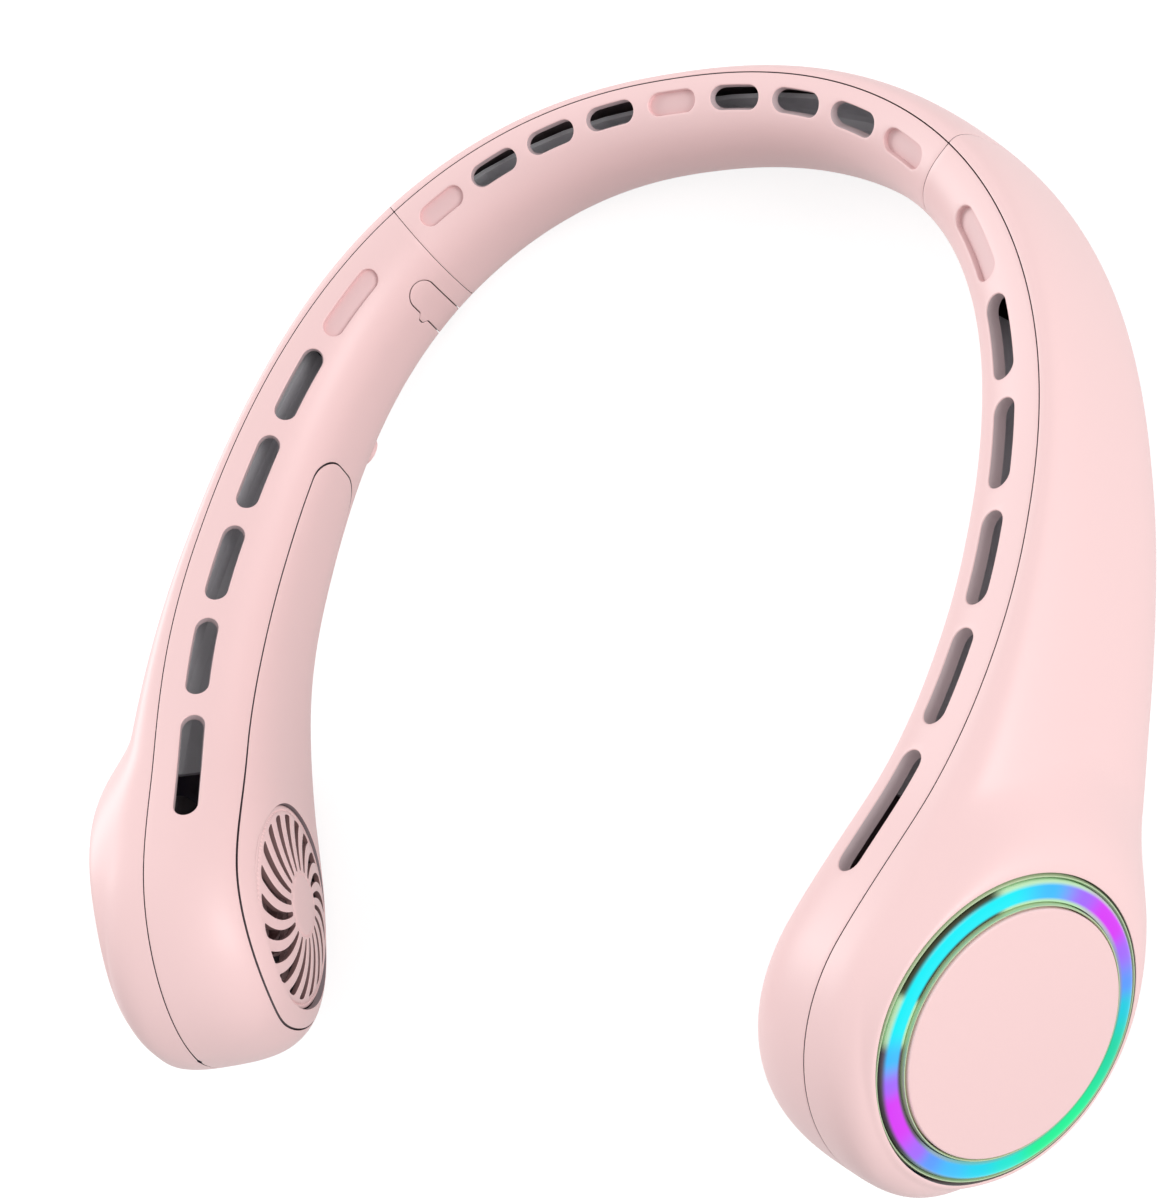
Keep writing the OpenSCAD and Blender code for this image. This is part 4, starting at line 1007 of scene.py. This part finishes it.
# The intake grille: a dome with curved slots, and fine grooves round its plain hub and its rim
DOME_R = (GRILLE_R ** 2 + GRILLE_DOME ** 2) / (2 * GRILLE_DOME)
GROOVE_DEEP = 0.3
GROOVES = ((GRILLE_HUB_R, 0.17), (GRILLE_RIM_R, 0.15))
SWIRL_R0, SWIRL_R1 = GRILLE_HUB_R + 1.0, 17.0
SWIRL_W0, SWIRL_W1 = 1.05, 2.95
SWIRL_SWEEP, SWIRL_POWER = 24, 1.7
BLUNT_L, BLUNT_POWER = 0.5, 0.6
GRILLE_EDGE_R, GRILLE_EDGE_POINTS = GRILLE_R - 0.25, 150
GRILLE_EDGE_LIP, GRILLE_SLOT_LIP = 0.35, 0.1
DOME_STEP, DOME_CLEAR = 0.9, 0.14
DOME_RINGS = (0.9, 1.8, 2.7, 3.6, 4.4, 5.0, 5.4, 5.6, 5.75, 5.9, 6.05, 6.2, 6.5, 7.2, 8.2, 9.4, 10.6,
              11.8, 13, 14.2, 15.4, 16.6, 17.6, 17.9, 18.05, 18.15, 18.25, 18.35, 18.45, 18.55, 18.65,
              18.75, 18.9)


def dome(x, y):
    r = np.hypot(x, y)
    z = np.sqrt(DOME_R ** 2 - r * r) - DOME_R + GRILLE_DOME
    for radius, width in GROOVES:
        z = z - GROOVE_DEEP * np.exp(-((r - radius) / width) ** 2)
    return np.stack([x, y, z], -1)


def dome_back(x, y):
    r = np.hypot(x, y)
    z = np.sqrt(DOME_R ** 2 - r * r) - DOME_R + GRILLE_DOME - GRILLE_WALL_T
    return np.stack([x, y, z], -1)


def dome_normals(f, x, y):
    d = 0.05
    return unit(np.cross(f(x + d, y) - f(x - d, y), f(x, y + d) - f(x, y - d)))


def circle(r, n):
    a = np.linspace(0, 2 * math.pi, n, endpoint=False)
    return np.stack([r * np.cos(a), r * np.sin(a)], 1)


def swirl_loop(start):
    """The outline of one curved slot: narrow and round at the hub, wide and blunt at the rim."""
    r = np.linspace(SWIRL_R0, SWIRL_R1, 14)
    w = (SWIRL_W0 + (SWIRL_W1 - SWIRL_W0) * (r - SWIRL_R0) / (SWIRL_R1 - SWIRL_R0)) / 2
    a_in = np.radians(np.linspace(90, 270, 7))[1:-1]
    a_out = np.radians(np.linspace(-90, 90, 9))[1:-1]
    blunt = SWIRL_R1 + w[-1] * np.cos(a_out) ** BLUNT_POWER * BLUNT_L
    along = np.concatenate([r, blunt, r[::-1], SWIRL_R0 + w[0] * np.cos(a_in)])
    across = np.concatenate([-w, w[-1] * np.sin(a_out), w[::-1], w[0] * np.sin(a_in)])
    share = np.clip((along - GRILLE_HUB_R) / (GRILLE_R - GRILLE_HUB_R), 0, 2)
    a = np.radians(SWIRL_SWEEP * share ** SWIRL_POWER + start)
    return np.stack([along * np.cos(a) - across * np.sin(a), along * np.sin(a) + across * np.cos(a)], 1)


def grille_mesh():
    slots = [swirl_loop(360 / GRILLE_SLOTS * i) for i in range(GRILLE_SLOTS)]
    rings = [circle(r, max(8, int(2 * math.pi * r / DOME_STEP))) for r in DOME_RINGS]
    points = np.vstack([np.zeros((1, 2))] + rings)
    lips = [GRILLE_EDGE_LIP] + [GRILLE_SLOT_LIP] * GRILLE_SLOTS
    return sheet(circle(GRILLE_EDGE_R, GRILLE_EDGE_POINTS), slots, [], points, dome, dome_back, lips,
                 k=1.0, clear=DOME_CLEAR, normal=dome_normals)


grille = grille_mesh()
for side in ("left", "right"):
    mirror = side == "left"
    # The grille's back and slot walls take the painted shade.
    ob = grille.object("grille_" + side, [PINK, GRILLE_WALL], mirror)
    place(ob, GRILLE, mirror)
    finish_piece(ob, "casing", "intake_grille_" + side, "shell_pink")

# The other nodes keep their own shapes
LOOKS = {
    "light_board": BOARD, "control_board": BOARD, "board_screws": STEEL, "wire_harness": WIRE,
    "motor_plate": DARK, "motor_stator": COPPER, "shaft_bearings": STEEL, "rotor_magnet": MAGNET,
    "rotor_shaft": STEEL, "fan_wheel": WHEEL, "air_duct": DUCT, "mid_air_duct": DUCT,
    "battery": WRAP, "seam_sleeve": DARK, "charging_socket": STEEL, "power_button": FLAP,
    "button_switch": BLACK}
for name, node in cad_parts.items():
    look = LOOKS.get(name.replace("_left", "").replace("_right", ""))
    if look:
        node.data.materials.clear()
        node.data.materials.append(look)

# Floor, backdrop and light
SKY_LIGHT = 0.58
FLOOR_GREY, FLOOR_GLOW, FLOOR_HALF, FLOOR_DROP = 0.36, 0.8, 6, 0.0004
LIGHT_AIM = (0, 0, 0.03)
LIGHT_SIZE = 1.0
KEY_AT, KEY_POWER = (-1.6, 0.6, 0.75), 17.5
FILL_AT, FILL_POWER = (1.55, -0.1, 0.75), 15.5
scene = bpy.context.scene


def seen(tree):
    """One for rays that come from the camera, a mirror or a clear piece, and zero for the rest."""
    path = tree.nodes.new("ShaderNodeLightPath")
    first, second = tree.nodes.new("ShaderNodeMath"), tree.nodes.new("ShaderNodeMath")
    first.operation = second.operation = "MAXIMUM"
    tree.links.new(path.outputs["Is Camera Ray"], first.inputs[0])
    tree.links.new(path.outputs["Is Glossy Ray"], first.inputs[1])
    tree.links.new(first.outputs[0], second.inputs[0])
    tree.links.new(path.outputs["Is Transmission Ray"], second.inputs[1])
    return second.outputs[0]


def add_backdrop():
    """A world that is white where it is seen and softer where it only lights."""
    world = bpy.data.worlds.new("studio")
    scene.world = world
    world.use_nodes = True
    tree = world.node_tree
    mix = tree.nodes.new("ShaderNodeMix")
    mix.data_type = "RGBA"
    tree.links.new(seen(tree), mix.inputs["Factor"])
    mix.inputs["A"].default_value = (SKY_LIGHT, SKY_LIGHT, SKY_LIGHT * 1.01, 1)
    mix.inputs["B"].default_value = (1, 1, 1, 1)
    tree.links.new(mix.outputs["Result"], tree.nodes["Background"].inputs["Color"])


def add_floor():
    look = bpy.data.materials.new("floor")
    look.use_nodes = True
    tree = look.node_tree
    shader = tree.nodes["Principled BSDF"]
    shader.inputs["Base Color"].default_value = (FLOOR_GREY, FLOOR_GREY, FLOOR_GREY, 1)
    shader.inputs["Roughness"].default_value = 0.9
    shader.inputs["Specular IOR Level"].default_value = 0.0
    shader.inputs["Emission Color"].default_value = (1, 1, 1, 1)
    glow = tree.nodes.new("ShaderNodeMath")
    glow.operation = "MULTIPLY"
    glow.inputs[1].default_value = FLOOR_GLOW
    tree.links.new(seen(tree), glow.inputs[0])
    tree.links.new(glow.outputs[0], shader.inputs["Emission Strength"])
    half = FLOOR_HALF
    corners = [(-half, -half, 0), (half, -half, 0), (half, half, 0), (-half, half, 0)]
    me = bpy.data.meshes.new("floor")
    me.from_pydata(corners, [], [(0, 1, 2, 3)])
    me.materials.append(look)
    floor = bpy.data.objects.new("floor", me)
    floor.location = (0, 0, -FLOOR_DROP)
    scene.collection.objects.link(floor)


def add_light(name, at, power):
    light = bpy.data.lights.new(name, "AREA")
    light.shape = "DISK"
    light.size = LIGHT_SIZE
    light.energy = power
    ob = bpy.data.objects.new(name, light)
    ob.location = at
    ob.rotation_euler = (Vector(LIGHT_AIM) - Vector(at)).to_track_quat("-Z", "Y").to_euler()
    scene.collection.objects.link(ob)


add_backdrop()
add_floor()
add_light("key", KEY_AT, KEY_POWER)
add_light("fill", FILL_AT, FILL_POWER)

# Camera: the turn and shift that fit the surface to the outlines in the photograph
VIEW_TURN = np.array([-0.41795, -0.55497, -0.12662])
VIEW_SHIFT = np.array([18.63993, 94.48496, -384.41135])
FIT_SHIFT = np.array([0, 4.2, 2.5])
FOCAL_LENGTH, SENSOR_WIDTH = 60, 36
CLIP_START, CLIP_END = 0.01, 50


def add_camera():
    angle = np.linalg.norm(VIEW_TURN)
    kx, ky, kz = VIEW_TURN / angle
    k = np.array([[0, -kz, ky], [kz, 0, -kx], [-ky, kx, 0]])
    turned = np.eye(3) + math.sin(angle) * k + (1 - math.cos(angle)) * k @ k
    at = rest(-turned.T @ VIEW_SHIFT - FIT_SHIFT)
    look = np.stack([turn(turned[i]) for i in range(3)], 1)
    data = bpy.data.cameras.new("camera")
    data.lens, data.sensor_width = FOCAL_LENGTH, SENSOR_WIDTH
    data.clip_start, data.clip_end = CLIP_START, CLIP_END
    camera = bpy.data.objects.new("camera", data)
    camera.matrix_world = Matrix([list(look[i]) + [at[i] * MM] for i in range(3)] + [[0, 0, 0, 1]])
    scene.collection.objects.link(camera)
    scene.camera = camera


add_camera()
scene.view_settings.view_transform = "Standard"
